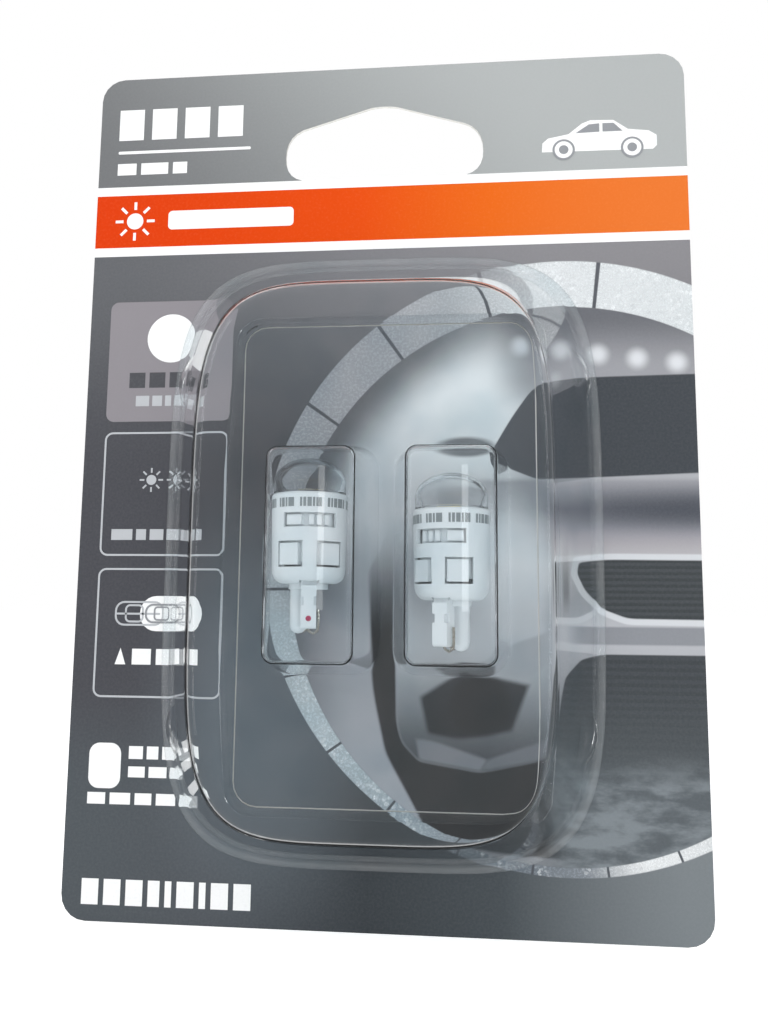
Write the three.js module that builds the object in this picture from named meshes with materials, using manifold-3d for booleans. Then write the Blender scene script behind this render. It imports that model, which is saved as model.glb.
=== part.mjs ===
// Carded blister pack holding two wedge-base LED lamps, each lamp built from its real pieces.
// Units are millimetres. The pack stands upright with its printed front facing -Y.
import * as THREE from 'three';
import { mergeVertices } from 'three/addons/utils/BufferGeometryUtils.js';
import Module from 'manifold-3d';

const wasm = await Module();
wasm.setup();

const radians = THREE.MathUtils.degToRad;

// ---------- Driving dimensions ----------

const touchGap = 0.3; // kept between pieces that would otherwise touch
const sealGap = 0.1; // kept between the card and the plastic sealed or soldered to a flat face
const past = 1; // how far a cutting tool runs past the face that it opens

const card = { width: 95, height: 134.5, thickness: 0.6, cornerRadius: 3.8 };
const hangHole = {
  width: 32, endHeight: 8.4, endRadius: 4, roofRise: 4.2, apexRadius: 2.2, apexBelowTop: 6.6,
};
const door = { kerf: 0.2, cornerRadius: 3.5, lapUnderInsert: 1.5 };

const housing = {
  radius: 5.6, wall: 0.8, height: 12.6, shoulderHeight: 2, mouthLip: 0.5, rimChamfer: 0.25, taper: 0.3,
};
const lowerWindow = { width: 3.9, height: 3.6, bottom: 2.2, angle: 32 };
const upperWindow = { width: 2.9, height: 2, bottom: 7.7, angle: 26 };
const carrier = {
  footHeight: 2.9, headHeight: 10.4, neckRadius: 2.8, neckHalfWidth: 4.1, cavityWidth: 7, cavityDepth: 3.4,
};
const carrierPad = { recess: 0.5, sideGap: 0.3, shadowGap: 0.4 };
const upperPad = { width: 2.2, finWidth: 0.65, finAngles: [2, 14, 27] };
const tongue = {
  width: 9.5, thickness: 2.1, length: 6.2, rootDrop: 0.3, rootHeight: 0.5, cornerRadius: 0.6,
  ribRadius: 1.2, ribOffset: 1.35, ribSlot: 0.55, ribOverhang: 0.8,
  grooveDepth: 0.35, grooveWidth: 1, grooveTop: 1.8, grooveHeight: 1.2,
};
const wire = { diameter: 0.4, spacing: 6, foldedTop: 3.6, boreClearance: 0.3, faceGap: 0.12 };
const spreader = { height: 0.8, notches: 6, notchRadius: 0.5 };
const ledBoard = { sideRoom: 0.4, thickness: 0.6, notchRadius: 0.45 };
const ledChip = { size: 3.4, height: 0.7, cornerRadius: 0.25 };
const driverBoard = { width: 5.6, thickness: 0.8, headroom: 0.5 };
const lens = { rimStep: 0.4, wall: 0.6, skirtWall: 0.5, skirtDepth: 0.8, straightHeight: 1.7, crownHeight: 3.4 };

const pocketPitch = 19.2; // between the two pockets
const lampBackRoom = 2.4; // from the card to the back of a housing
const lampFrontRoom = 1.3; // from the front of a housing to its pocket
const leftLamp = { shift: -1, raise: 1.5, turnDegrees: -79 };
const rightLamp = { shift: 0.1, raise: -0.7, turnDegrees: 70 };

const pocket = { sideRoom: 0.3, endRoom: 2, wall: 0.35, cornerRadius: 1.7, crownRadius: 1.5, draft: 2.4 };
const insert = {
  sideBrim: 8.25, endBrim: 23.3, thickness: 0.35, cornerRadius: 4.2, sideBow: 1.6, bowSteps: 12,
  seatOffset: 1, pocketShift: 0.2,
};
const dome = {
  bottomMargin: 10, sideRoom: 6.6, endRoom: 20.6, frontRoom: 1.4, wall: 0.4, draft: 7.1, crownRadius: 2.4,
  crownStart: 30, footRadius: 1, frontDrop: 1.2, flange: 1.2, squareness: 4.6, lugLength: 7, lugRise: 53,
};

const roundSides = 40; // facets round a housing or lens
const smallSides = 16; // facets round a small round piece
const outlinePoints = 64; // points round the dome's outline
const cornerPoints = 6; // points round one rounded corner

// ---------- Sizes worked out from the driving dimensions ----------

const mouthRadius = carrier.neckRadius + touchGap;
const insideHousing = housing.radius - housing.wall - touchGap;
const skirtInner = insideHousing - lens.skirtWall;
const lensRadius = housing.radius - lens.rimStep;
const lensTop = housing.height + touchGap + lens.straightHeight + lens.crownHeight;
const foldRadius = (tongue.thickness / 2 + wire.faceGap + wire.diameter / 2) / 2;
const lampDrop = tongue.length + foldRadius + wire.diameter / 2;
const lampLength = lensTop + lampDrop;
const lampAxisHeight = lampBackRoom + housing.radius;

const pocketInnerHalfWidth = housing.radius + pocket.sideRoom;
const pocketInnerHalfHeight = lampLength / 2 + pocket.endRoom;
const pocketInnerFront = lampAxisHeight + housing.radius + lampFrontRoom;
const pocketHalfWidth = pocketInnerHalfWidth + pocket.wall;
const pocketHalfHeight = pocketInnerHalfHeight + pocket.wall;
const pocketFront = pocketInnerFront + pocket.wall;

const insertHalfWidth = pocketPitch / 2 + pocketHalfWidth + insert.sideBrim;
const insertHalfHeight = pocketHalfHeight + insert.endBrim;

const domeFrontHalfWidth = pocketPitch / 2 + pocketHalfWidth + dome.sideRoom;
const domeFrontHalfHeight = pocketHalfHeight + dome.endRoom;
const domeFront = pocketFront + dome.frontRoom + dome.wall;
const domeInset = dome.footRadius / 2 + dome.draft + dome.crownRadius * Math.cos(radians(dome.crownStart));
const domeFootHalfWidth = domeFrontHalfWidth + domeInset;
const domeFootHalfHeight = domeFrontHalfHeight + domeInset;
const domeCentre = dome.bottomMargin + domeFootHalfHeight;
const contentsCentre = domeCentre - dome.frontDrop;

const hangApex = card.height - hangHole.apexBelowTop;

// ---------- Helpers ----------

function toSolid(geometry) {
  const plain = geometry.index ? geometry.toNonIndexed() : geometry.clone();
  plain.deleteAttribute('normal');
  plain.deleteAttribute('uv');
  const merged = mergeVertices(plain, 1e-4);
  return new wasm.Manifold(new wasm.Mesh({
    numProp: 3,
    vertProperties: new Float32Array(merged.attributes.position.array),
    triVerts: new Uint32Array(merged.index.array),
  }));
}

function toGeometry(solid) {
  const mesh = solid.getMesh();
  const geometry = new THREE.BufferGeometry();
  geometry.setAttribute('position', new THREE.BufferAttribute(new Float32Array(mesh.vertProperties), 3));
  geometry.setIndex(new THREE.BufferAttribute(new Uint32Array(mesh.triVerts), 1));
  return geometry;
}

const union = (first, ...rest) => rest.reduce((sum, piece) => sum.add(piece), first);
const cut = (first, ...tools) => tools.reduce((left, tool) => left.subtract(tool), first);

// A box between two corners.
function boxBetween(low, high) {
  const size = high.map((value, axis) => value - low[axis]);
  const box = new THREE.BoxGeometry(...size);
  box.translate(low[0] + size[0] / 2, low[1] + size[1] / 2, low[2] + size[2] / 2);
  return box;
}

// An upright cylinder from one height to another.
function post(radius, bottom, top, sides = smallSides, x = 0, y = 0) {
  const cylinder = new THREE.CylinderGeometry(radius, radius, top - bottom, sides);
  cylinder.rotateX(Math.PI / 2);
  cylinder.translate(x, y, (bottom + top) / 2);
  return cylinder;
}

// A block standing across a radius at an angle round the Z axis.
function radialBlock(innerRadius, outerRadius, width, bottom, top, degrees, slip = 0) {
  const block = boxBetween([innerRadius, slip - width / 2, bottom], [outerRadius, slip + width / 2, top]);
  block.rotateZ(radians(degrees));
  return block;
}

// A lathe about Z, with [radius, height] points.
function turned(points, sides) {
  const lathe = new THREE.LatheGeometry(points.map(([r, z]) => new THREE.Vector2(r, z)), sides);
  lathe.rotateX(Math.PI / 2);
  return lathe;
}

// Points of an ellipse quarter, from one end to the other, for a lathe profile.
function quarter(centreR, centreZ, radiusR, radiusZ, fromDegrees, toDegrees, steps) {
  return Array.from({ length: steps + 1 }, (_, i) => {
    const angle = radians(THREE.MathUtils.lerp(fromDegrees, toDegrees, i / steps));
    return [centreR + radiusR * Math.cos(angle), centreZ + radiusZ * Math.sin(angle)];
  });
}

// Outline of a rounded rectangle, counter-clockwise.
function roundedRectangle(halfWidth, halfHeight, radius) {
  const corners = [[1, 1, 0], [-1, 1, 90], [-1, -1, 180], [1, -1, 270]];
  return corners.flatMap(([sideX, sideY, start]) => Array.from({ length: cornerPoints }, (_, i) => {
    const angle = radians(start + (90 * i) / (cornerPoints - 1));
    return new THREE.Vector2(
      sideX * (halfWidth - radius) + radius * Math.cos(angle),
      sideY * (halfHeight - radius) + radius * Math.sin(angle),
    );
  }));
}

// Outline with bowed sides and soft corners, counter-clockwise.
function bowedRectangle(halfWidth, halfHeight) {
  const bend = (value) => Math.sign(value) * Math.abs(value) ** (2 / dome.squareness);
  return Array.from({ length: outlinePoints }, (_, i) => {
    const angle = (2 * Math.PI * i) / outlinePoints;
    return new THREE.Vector2(halfWidth * bend(Math.cos(angle)), halfHeight * bend(Math.sin(angle)));
  });
}

// Closed solid through outlines of equal point count, stacked along Z.
function loft(sections) {
  const count = sections[0].outline.length;
  const positions = sections.flatMap(({ outline, height }) => outline.flatMap((p) => [p.x, p.y, height]));
  const indices = [];
  for (let level = 0; level < sections.length - 1; level += 1) {
    for (let i = 0; i < count; i += 1) {
      const a = level * count + i;
      const b = level * count + ((i + 1) % count);
      indices.push(a, b, b + count, a, b + count, a + count);
    }
  }
  const top = (sections.length - 1) * count;
  for (const [a, b, c] of THREE.ShapeUtils.triangulateShape(sections[0].outline, [])) {
    indices.push(c, b, a);
    indices.push(top + a, top + b, top + c);
  }
  const geometry = new THREE.BufferGeometry();
  geometry.setAttribute('position', new THREE.Float32BufferAttribute(positions, 3));
  geometry.setIndex(indices);
  return geometry;
}

// A flat plate with holes, from one height to another.
function plate(outline, holes, bottom, top) {
  const shape = new THREE.Shape(outline);
  shape.holes = holes.map((hole) => new THREE.Path(hole));
  const geometry = new THREE.ExtrudeGeometry(shape, { depth: top - bottom, bevelEnabled: false });
  geometry.translate(0, 0, bottom);
  return geometry;
}

const shifted = (outline, x, y) => outline.map((point) => new THREE.Vector2(point.x + x, point.y + y));

function material(color, roughness, metalness, opacity = 1) {
  return new THREE.MeshStandardMaterial({ color, roughness, metalness, opacity, transparent: opacity < 1 });
}

function addPiece(group, name, geometry, finish) {
  const mesh = new THREE.Mesh(geometry, finish);
  mesh.name = name;
  group.add(mesh);
}

// ---------- Materials ----------

const finishes = {
  card: material(0x77787c, 0.45, 0),
  cardBack: material(0xd9d9d6, 0.8, 0),
  clearPlastic: material(0xe8eef0, 0.08, 0, 0.3),
  whitePlastic: material(0xe6ecee, 0.4, 0),
  circuitBoard: material(0xf2f2ee, 0.5, 0),
  greenBoard: material(0x1f5c3a, 0.5, 0),
  phosphor: material(0xe9d667, 0.5, 0),
  aluminium: material(0xb8babd, 0.35, 1),
  darkEpoxy: material(0x1c1d20, 0.5, 0),
  wire: material(0xc9c6be, 0.25, 1),
};

// ---------- Card and rear door, lying flat with the printed face at height 0 ----------

// Display hole: a flat-bottomed slot with round ends and a shallow pointed roof.
function hangHoleOutline() {
  const { width, endHeight, endRadius, roofRise, apexRadius } = hangHole;
  const floor = hangApex - endHeight - roofRise;
  const half = width / 2;
  const shape = new THREE.Shape();
  shape.moveTo(-half + endRadius, floor);
  shape.lineTo(half - endRadius, floor);
  shape.quadraticCurveTo(half, floor, half, floor + endHeight / 2);
  shape.quadraticCurveTo(half, floor + endHeight, half - endRadius, floor + endHeight + roofRise * 0.2);
  shape.lineTo(apexRadius, hangApex - roofRise * 0.1);
  shape.quadraticCurveTo(0, hangApex, -apexRadius, hangApex - roofRise * 0.1);
  shape.lineTo(-half + endRadius, floor + endHeight + roofRise * 0.2);
  shape.quadraticCurveTo(-half, floor + endHeight, -half, floor + endHeight / 2);
  shape.quadraticCurveTo(-half, floor, -half + endRadius, floor);
  return shape.getPoints(cornerPoints).slice(0, -1);
}

function doorOutline(growth) {
  const outline = roundedRectangle(
    insertHalfWidth - door.lapUnderInsert + growth,
    insertHalfHeight - door.lapUnderInsert + growth,
    door.cornerRadius + growth,
  );
  return shifted(outline, insert.seatOffset, contentsCentre);
}

function backingCard() {
  const sheet = roundedRectangle(card.width / 2, card.height / 2, card.cornerRadius);
  const holes = [hangHoleOutline(), doorOutline(door.kerf)];
  return plate(shifted(sheet, 0, card.height / 2), holes, -card.thickness, 0);
}

const rearDoor = () => plate(doorOutline(0), [], -card.thickness, 0);

// ---------- Clear dome ----------

// Steps up the dome's wall as [inset from the foot outline, height]: foot, straight draft, crown round.
function domeWall(bottom, top, crownRadius) {
  const footTop = sealGap + dome.wall;
  const wallStart = dome.footRadius / 2;
  const crownCentre = wallStart + dome.draft + crownRadius * Math.cos(radians(dome.crownStart));
  const crown = quarter(0, top - crownRadius, crownRadius, crownRadius, dome.crownStart, 90, 4);
  return [
    [0, bottom],
    [0, footTop],
    [wallStart, footTop + dome.footRadius],
    ...crown.map(([across, height]) => [crownCentre - across, height]),
  ];
}

function domeBody(growth, bottom, top, crownRadius) {
  return loft(domeWall(bottom, top, crownRadius).map(([inset, height]) => {
    const drop = (dome.frontDrop * Math.max(height, 0)) / domeFront;
    const outline = bowedRectangle(domeFootHalfWidth + growth - inset, domeFootHalfHeight + growth - inset);
    return { outline: shifted(outline, 0, domeCentre - drop), height };
  }));
}

// Small ridge low on the dome's side that keeps nested domes apart.
function denestLug(side, rise) {
  const lug = new THREE.SphereGeometry(1, 12, 8);
  lug.scale(0.9, dome.lugLength / 2, 1.5);
  lug.translate(side * (domeFootHalfWidth - 1.9), domeCentre + rise / 2, 2.4);
  return lug;
}

function blisterDome() {
  const flange = plate(
    shifted(bowedRectangle(domeFootHalfWidth + dome.flange, domeFootHalfHeight + dome.flange), 0, domeCentre),
    [], sealGap, sealGap + dome.wall,
  );
  const lugs = [-1, 1].flatMap((side) => [-1, 1].map((end) => denestLug(side, end * dome.lugRise)));
  const shell = domeBody(0, sealGap, domeFront, dome.crownRadius);
  const hollow = domeBody(-dome.wall, -past, domeFront - dome.wall, dome.crownRadius - dome.wall);
  return toGeometry(cut(union(toSolid(flange), toSolid(shell), ...lugs.map(toSolid)), toSolid(hollow)));
}

// ---------- Clear insert with one pocket for each lamp ----------

function pocketBody(x, halfWidth, halfHeight, bottom, front, crownRadius) {
  const crown = quarter(0, front - crownRadius, crownRadius, crownRadius, 0, 90, 5);
  const levels = [[-pocket.draft, bottom], ...crown.map(([r, z]) => [crownRadius - r, z])];
  return loft(levels.map(([inset, height]) => {
    const radius = Math.max(pocket.cornerRadius, inset + 0.4);
    const corner = Math.min(radius, halfWidth - inset - 0.2);
    const outline = roundedRectangle(halfWidth - inset, halfHeight - inset, corner);
    return { outline: shifted(outline, x, contentsCentre), height };
  }));
}

const pocketAcross = (side) => insert.seatOffset + insert.pocketShift + (side * pocketPitch) / 2;

// Outline of the insert's brim: rounded corners joined by long sides that bow outward.
function brimOutline() {
  const corners = roundedRectangle(insertHalfWidth, insertHalfHeight, insert.cornerRadius);
  const straight = insertHalfHeight - insert.cornerRadius;
  const bow = (side) => Array.from({ length: insert.bowSteps - 1 }, (_, i) => {
    const rise = side * THREE.MathUtils.lerp(-straight, straight, (i + 1) / insert.bowSteps);
    const across = insertHalfWidth + insert.sideBow * (1 - (rise / straight) ** 2);
    return new THREE.Vector2(side * across, rise);
  });
  const half = 2 * cornerPoints;
  const outline = [...corners.slice(0, half), ...bow(-1), ...corners.slice(half), ...bow(1)];
  return shifted(outline, insert.seatOffset, contentsCentre);
}

function bulbInsert() {
  const brim = plate(brimOutline(), [], sealGap, sealGap + insert.thickness);
  const outers = [-1, 1].map((side) => pocketBody(
    pocketAcross(side), pocketHalfWidth, pocketHalfHeight, sealGap, pocketFront, pocket.crownRadius,
  ));
  const inners = [-1, 1].map((side) => pocketBody(
    pocketAcross(side), pocketInnerHalfWidth, pocketInnerHalfHeight, -past, pocketInnerFront,
    pocket.crownRadius - pocket.wall,
  ));
  return toGeometry(cut(union(toSolid(brim), ...outers.map(toSolid)), ...inners.map(toSolid)));
}

// ---------- Lamp pieces, each lamp upright with its seating shoulder at height 0 ----------

// Both sides of a lamp carry the same windows, turned half a turn.
const lampSides = [0, 180];

function lampHousing() {
  const { radius, wall, height, shoulderHeight, mouthLip, rimChamfer, taper } = housing;
  const inner = radius - wall;
  const mouthEdge = mouthRadius + mouthLip;
  const profile = [
    [mouthRadius, 0],
    ...quarter(mouthEdge, shoulderHeight, radius - taper - mouthEdge, shoulderHeight, -90, 0, 5),
    [radius, height - rimChamfer],
    [radius - rimChamfer, height],
    [inner, height],
    ...quarter(mouthRadius, shoulderHeight + wall, inner - mouthRadius, shoulderHeight, 0, -90, 3),
    [mouthRadius, 0],
  ];
  const windows = lampSides.flatMap((side) => [
    ...[-1, 1].map((hand) => radialBlock(
      carrier.neckRadius, radius + past, lowerWindow.width,
      lowerWindow.bottom, lowerWindow.bottom + lowerWindow.height, side + hand * lowerWindow.angle,
    )),
    ...[-1, 0, 1].map((hand) => radialBlock(
      carrier.neckRadius, radius + past, upperWindow.width,
      upperWindow.bottom, upperWindow.bottom + upperWindow.height, side + hand * upperWindow.angle,
    )),
  ]);
  const tongueSlot = boxBetween(
    [-carrier.neckHalfWidth - touchGap, -tongue.thickness / 2 - touchGap, -past],
    [carrier.neckHalfWidth + touchGap, tongue.thickness / 2 + touchGap, shoulderHeight + wall + touchGap],
  );
  return toGeometry(cut(toSolid(turned(profile, roundSides)), ...windows.map(toSolid), toSolid(tongueSlot)));
}

// Flat tongue of the wedge base: a neck, a middle strip and two wings.
function tonguePlate() {
  const { width, thickness, length, rootDrop, rootHeight, cornerRadius, ribRadius, ribSlot } = tongue;
  const outer = width / 2;
  const inner = ribRadius + ribSlot;
  const rootBottom = -rootDrop - rootHeight;
  const shape = new THREE.Shape();
  shape.moveTo(carrier.neckHalfWidth, carrier.footHeight + touchGap);
  shape.lineTo(-carrier.neckHalfWidth, carrier.footHeight + touchGap);
  shape.lineTo(-carrier.neckHalfWidth, -rootDrop);
  shape.lineTo(-outer, -rootDrop);
  shape.lineTo(-outer, -length + cornerRadius);
  shape.quadraticCurveTo(-outer, -length, -outer + cornerRadius, -length);
  shape.lineTo(-inner, -length);
  shape.lineTo(-inner, rootBottom);
  shape.lineTo(-ribRadius, rootBottom);
  shape.lineTo(-ribRadius, -length);
  shape.lineTo(ribRadius, -length);
  shape.lineTo(ribRadius, rootBottom);
  shape.lineTo(inner, rootBottom);
  shape.lineTo(inner, -length);
  shape.lineTo(outer - cornerRadius, -length);
  shape.quadraticCurveTo(outer, -length, outer, -length + cornerRadius);
  shape.lineTo(outer, -rootDrop);
  shape.lineTo(carrier.neckHalfWidth, -rootDrop);
  shape.closePath();
  const options = { depth: thickness, bevelEnabled: false, curveSegments: 4 };
  const geometry = new THREE.ExtrudeGeometry(shape, options);
  geometry.rotateX(Math.PI / 2);
  geometry.translate(0, thickness / 2, 0);
  return geometry;
}

// Retention grooves across both faces of each wing, near its tip.
function wingGrooves() {
  const { width, thickness, grooveDepth, grooveWidth, grooveTop, grooveHeight } = tongue;
  const floor = thickness / 2 - grooveDepth;
  return [-1, 1].flatMap((wing) => [-1, 1].map((face) => {
    const across = [wing * (width / 2 - grooveWidth), wing * (width / 2 + past)];
    const deep = [face * floor, face * (thickness / 2 + past)];
    return boxBetween(
      [Math.min(...across), Math.min(...deep), -grooveTop - grooveHeight],
      [Math.max(...across), Math.max(...deep), -grooveTop],
    );
  }));
}

// Pads and fins that stand in the housing's windows. Each pad is set to one side, so a dark gap shows
// beside it.
function carrierPads() {
  const { sideGap, shadowGap } = carrierPad;
  const radius = housing.radius - carrierPad.recess;
  const rootRadius = carrier.neckRadius;
  const width = lowerWindow.width - 2 * sideGap - shadowGap;
  const low = lowerWindow.bottom + sideGap;
  const high = lowerWindow.bottom + lowerWindow.height - sideGap;
  const upperLow = upperWindow.bottom + sideGap;
  const upperHigh = upperWindow.bottom + upperWindow.height - sideGap;
  return lampSides.flatMap((side) => {
    const padHand = side === 0 ? -1 : 1;
    const slip = (hand) => ((side === 0 ? hand : -1) * shadowGap) / 2;
    return [
      ...[-1, 1].map((hand) => radialBlock(
        rootRadius, radius, width, low, high, side + hand * lowerWindow.angle, slip(hand),
      )),
      radialBlock(
        rootRadius, radius, upperPad.width, upperLow, upperHigh, side + padHand * upperWindow.angle,
      ),
      ...upperPad.finAngles.map((angle) => radialBlock(
        rootRadius, radius, upperPad.finWidth, upperLow, upperHigh, side - padHand * angle,
      )),
    ];
  });
}

function wedgeBase() {
  const ribBottom = -tongue.length - tongue.ribOverhang;
  const rib = turned([
    [0, ribBottom],
    ...quarter(0, ribBottom + tongue.ribRadius, tongue.ribRadius, tongue.ribRadius, -60, 0, 4),
    [tongue.ribRadius, carrier.footHeight],
    [0, carrier.footHeight],
  ], smallSides);
  rib.translate(0, -tongue.ribOffset, 0);
  const cavityFloor = carrier.footHeight + 0.6;
  const cavity = boxBetween(
    [-carrier.cavityWidth / 2, -carrier.cavityDepth / 2, cavityFloor],
    [carrier.cavityWidth / 2, carrier.cavityDepth / 2, carrier.headHeight + past],
  );
  const boreRadius = wire.diameter / 2 + wire.boreClearance;
  const bores = [-1, 1].map((side) => post(
    boreRadius, -tongue.length - past, cavityFloor + past, 12, (side * wire.spacing) / 2,
  ));
  const body = union(
    toSolid(post(insideHousing, carrier.footHeight, carrier.headHeight, roundSides)),
    toSolid(post(carrier.neckRadius, -tongue.rootDrop - tongue.rootHeight, carrier.footHeight + touchGap)),
    toSolid(tonguePlate()),
    toSolid(rib),
    ...carrierPads().map(toSolid),
  );
  return toGeometry(cut(body, toSolid(cavity), ...bores.map(toSolid), ...wingGrooves().map(toSolid)));
}

// Wire that comes down a bore in one wing and folds up over the wing's face.
function contactWire(side) {
  const x = (side * wire.spacing) / 2;
  const innerTop = carrier.footHeight + 0.7;
  const path = new THREE.CurvePath();
  const at = (across, height) => new THREE.Vector3(x, side * across, height);
  path.add(new THREE.LineCurve3(at(0, innerTop), at(0, -tongue.length)));
  const bend = Array.from({ length: 9 }, (_, i) => {
    const angle = (Math.PI * i) / 8;
    return at(foldRadius * (1 - Math.cos(angle)), -tongue.length - foldRadius * Math.sin(angle));
  });
  for (let i = 0; i < bend.length - 1; i += 1) path.add(new THREE.LineCurve3(bend[i], bend[i + 1]));
  path.add(new THREE.LineCurve3(at(2 * foldRadius, -tongue.length), at(2 * foldRadius, -wire.foldedTop)));
  const points = path.curves.map((part) => part.v1).concat(path.curves.at(-1).v2);
  const curve = new THREE.CatmullRomCurve3(points);
  const circle = new THREE.EllipseCurve(0, 0, wire.diameter / 2, wire.diameter / 2);
  const section = new THREE.Shape(circle.getPoints(8).slice(0, -1));
  return new THREE.ExtrudeGeometry(section, { steps: 20, extrudePath: curve, bevelEnabled: false });
}

const spreaderBottom = carrier.headHeight + touchGap;
const ledBoardBottom = spreaderBottom + spreader.height + sealGap;
const ledChipBottom = ledBoardBottom + ledBoard.thickness + sealGap;

function discWithNotches(radius, bottom, top, notchRadius, notches) {
  const tools = Array.from({ length: notches }, (_, i) => {
    const angle = (2 * Math.PI * (i + 0.5)) / notches;
    const [x, y] = [radius * Math.cos(angle), radius * Math.sin(angle)];
    return post(notchRadius, bottom - past, top + past, 8, x, y);
  });
  return toGeometry(cut(toSolid(post(radius, bottom, top, 36)), ...tools.map(toSolid)));
}

const heatSpreader = () => discWithNotches(
  insideHousing, spreaderBottom, spreaderBottom + spreader.height,
  spreader.notchRadius, spreader.notches,
);

const ledBoardDisc = () => discWithNotches(
  skirtInner - ledBoard.sideRoom, ledBoardBottom, ledBoardBottom + ledBoard.thickness,
  ledBoard.notchRadius, 2,
);

const ledChipBlock = () => plate(
  roundedRectangle(ledChip.size / 2, ledChip.size / 2, ledChip.cornerRadius),
  [], ledChipBottom, ledChipBottom + ledChip.height,
);

// Clear cap: a skirt inside the housing's rim, a shoulder on it, and a rounded crown.
function lampLens() {
  const seat = housing.height + touchGap;
  const crownStart = seat + lens.straightHeight;
  const inner = lensRadius - lens.wall;
  const innerCrown = lens.crownHeight - lens.wall;
  return turned([
    [0, crownStart + innerCrown],
    ...quarter(0, crownStart, inner, innerCrown, 76, 0, 5),
    [skirtInner, seat],
    [skirtInner, housing.height - lens.skirtDepth],
    [insideHousing, housing.height - lens.skirtDepth],
    [insideHousing, seat],
    [lensRadius, seat],
    ...quarter(0, crownStart, lensRadius, lens.crownHeight, 0, 78, 6),
    [0, crownStart + lens.crownHeight],
  ], roundSides);
}

const driverBottom = carrier.footHeight + 0.7 + touchGap;
const driverTop = carrier.headHeight - driverBoard.headroom;

const driverBoardPlate = () => boxBetween(
  [-driverBoard.width / 2, -driverBoard.thickness / 2, driverBottom],
  [driverBoard.width / 2, driverBoard.thickness / 2, driverTop],
);

// Surface-mount package on one face of the driver board, with feet along two edges.
function surfacePart({ side, x, z, width, height, thickness, feet }) {
  const face = driverBoard.thickness / 2 + sealGap;
  const near = side * face;
  const far = side * (face + thickness);
  const [low, high] = near < far ? [near, far] : [far, near];
  const body = boxBetween([x - width / 2, low, z - height / 2], [x + width / 2, high, z + height / 2]);
  const footTip = side * (face + thickness * 0.3);
  const legs = [-1, 1].flatMap((edge) => Array.from({ length: feet }, (_, i) => {
    const across = x + ((i + 0.5) / feet - 0.5) * width;
    const end = z + edge * (height / 2 + 0.15);
    return boxBetween(
      [across - 0.15, Math.min(near, footTip), end - 0.2],
      [across + 0.15, Math.max(near, footTip), end + 0.2],
    );
  }));
  return toGeometry(union(toSolid(body), ...legs.map(toSolid)));
}

const middle = (driverBottom + driverTop) / 2;
const partRow = (driverTop - driverBottom) / 4;
const driverParts = {
  rectifier: { side: -1, x: 0, z: middle - partRow, width: 2.6, height: 1.7, thickness: 0.8, feet: 2 },
  driver_ic: { side: -1, x: 0, z: middle + partRow, width: 2.8, height: 1.5, thickness: 0.7, feet: 3 },
  resistor_low: { side: 1, x: 0, z: middle - partRow, width: 2.2, height: 1.3, thickness: 0.45, feet: 1 },
  resistor_high: { side: 1, x: 0, z: middle + partRow, width: 2.2, height: 1.3, thickness: 0.45, feet: 1 },
};

const driverFinishes = {
  rectifier: finishes.darkEpoxy,
  driver_ic: finishes.darkEpoxy,
  resistor_low: finishes.darkEpoxy,
  resistor_high: finishes.darkEpoxy,
};

function lamp(prefix, side, place) {
  const group = new THREE.Group();
  addPiece(group, `${prefix}_lens`, lampLens(), finishes.clearPlastic);
  addPiece(group, `${prefix}_housing`, lampHousing(), finishes.whitePlastic);
  addPiece(group, `${prefix}_wedge_base`, wedgeBase(), finishes.whitePlastic);
  addPiece(group, `${prefix}_heat_spreader`, heatSpreader(), finishes.aluminium);
  addPiece(group, `${prefix}_led_board`, ledBoardDisc(), finishes.circuitBoard);
  addPiece(group, `${prefix}_led_chip`, ledChipBlock(), finishes.phosphor);
  addPiece(group, `${prefix}_driver_board`, driverBoardPlate(), finishes.greenBoard);
  for (const [part, sizes] of Object.entries(driverParts)) {
    addPiece(group, `${prefix}_${part}`, surfacePart(sizes), driverFinishes[part]);
  }
  addPiece(group, `${prefix}_contact_wire_front`, contactWire(-1), finishes.wire);
  addPiece(group, `${prefix}_contact_wire_back`, contactWire(1), finishes.wire);
  const shoulder = contentsCentre - lampLength / 2 + lampDrop + place.raise;
  group.position.set(pocketAcross(side) + place.shift, shoulder, lampAxisHeight);
  group.rotation.set(-Math.PI / 2, 0, radians(place.turnDegrees));
  return group;
}

// ---------- The pack, built lying on its back and then stood up on its hang hole ----------

const flatPack = new THREE.Group();
addPiece(flatPack, 'backing_card', backingCard(), finishes.card);
addPiece(flatPack, 'rear_door', rearDoor(), finishes.cardBack);
addPiece(flatPack, 'blister_dome', blisterDome(), finishes.clearPlastic);
addPiece(flatPack, 'bulb_insert', bulbInsert(), finishes.clearPlastic);
flatPack.add(lamp('left', -1, leftLamp));
flatPack.add(lamp('right', 1, rightLamp));
flatPack.rotation.x = Math.PI / 2;
flatPack.position.z = -hangApex;

const pack = new THREE.Group();
pack.add(flatPack);

export default pack;
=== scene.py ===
import math

import bmesh
import bpy
from mathutils import Matrix, Vector


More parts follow.
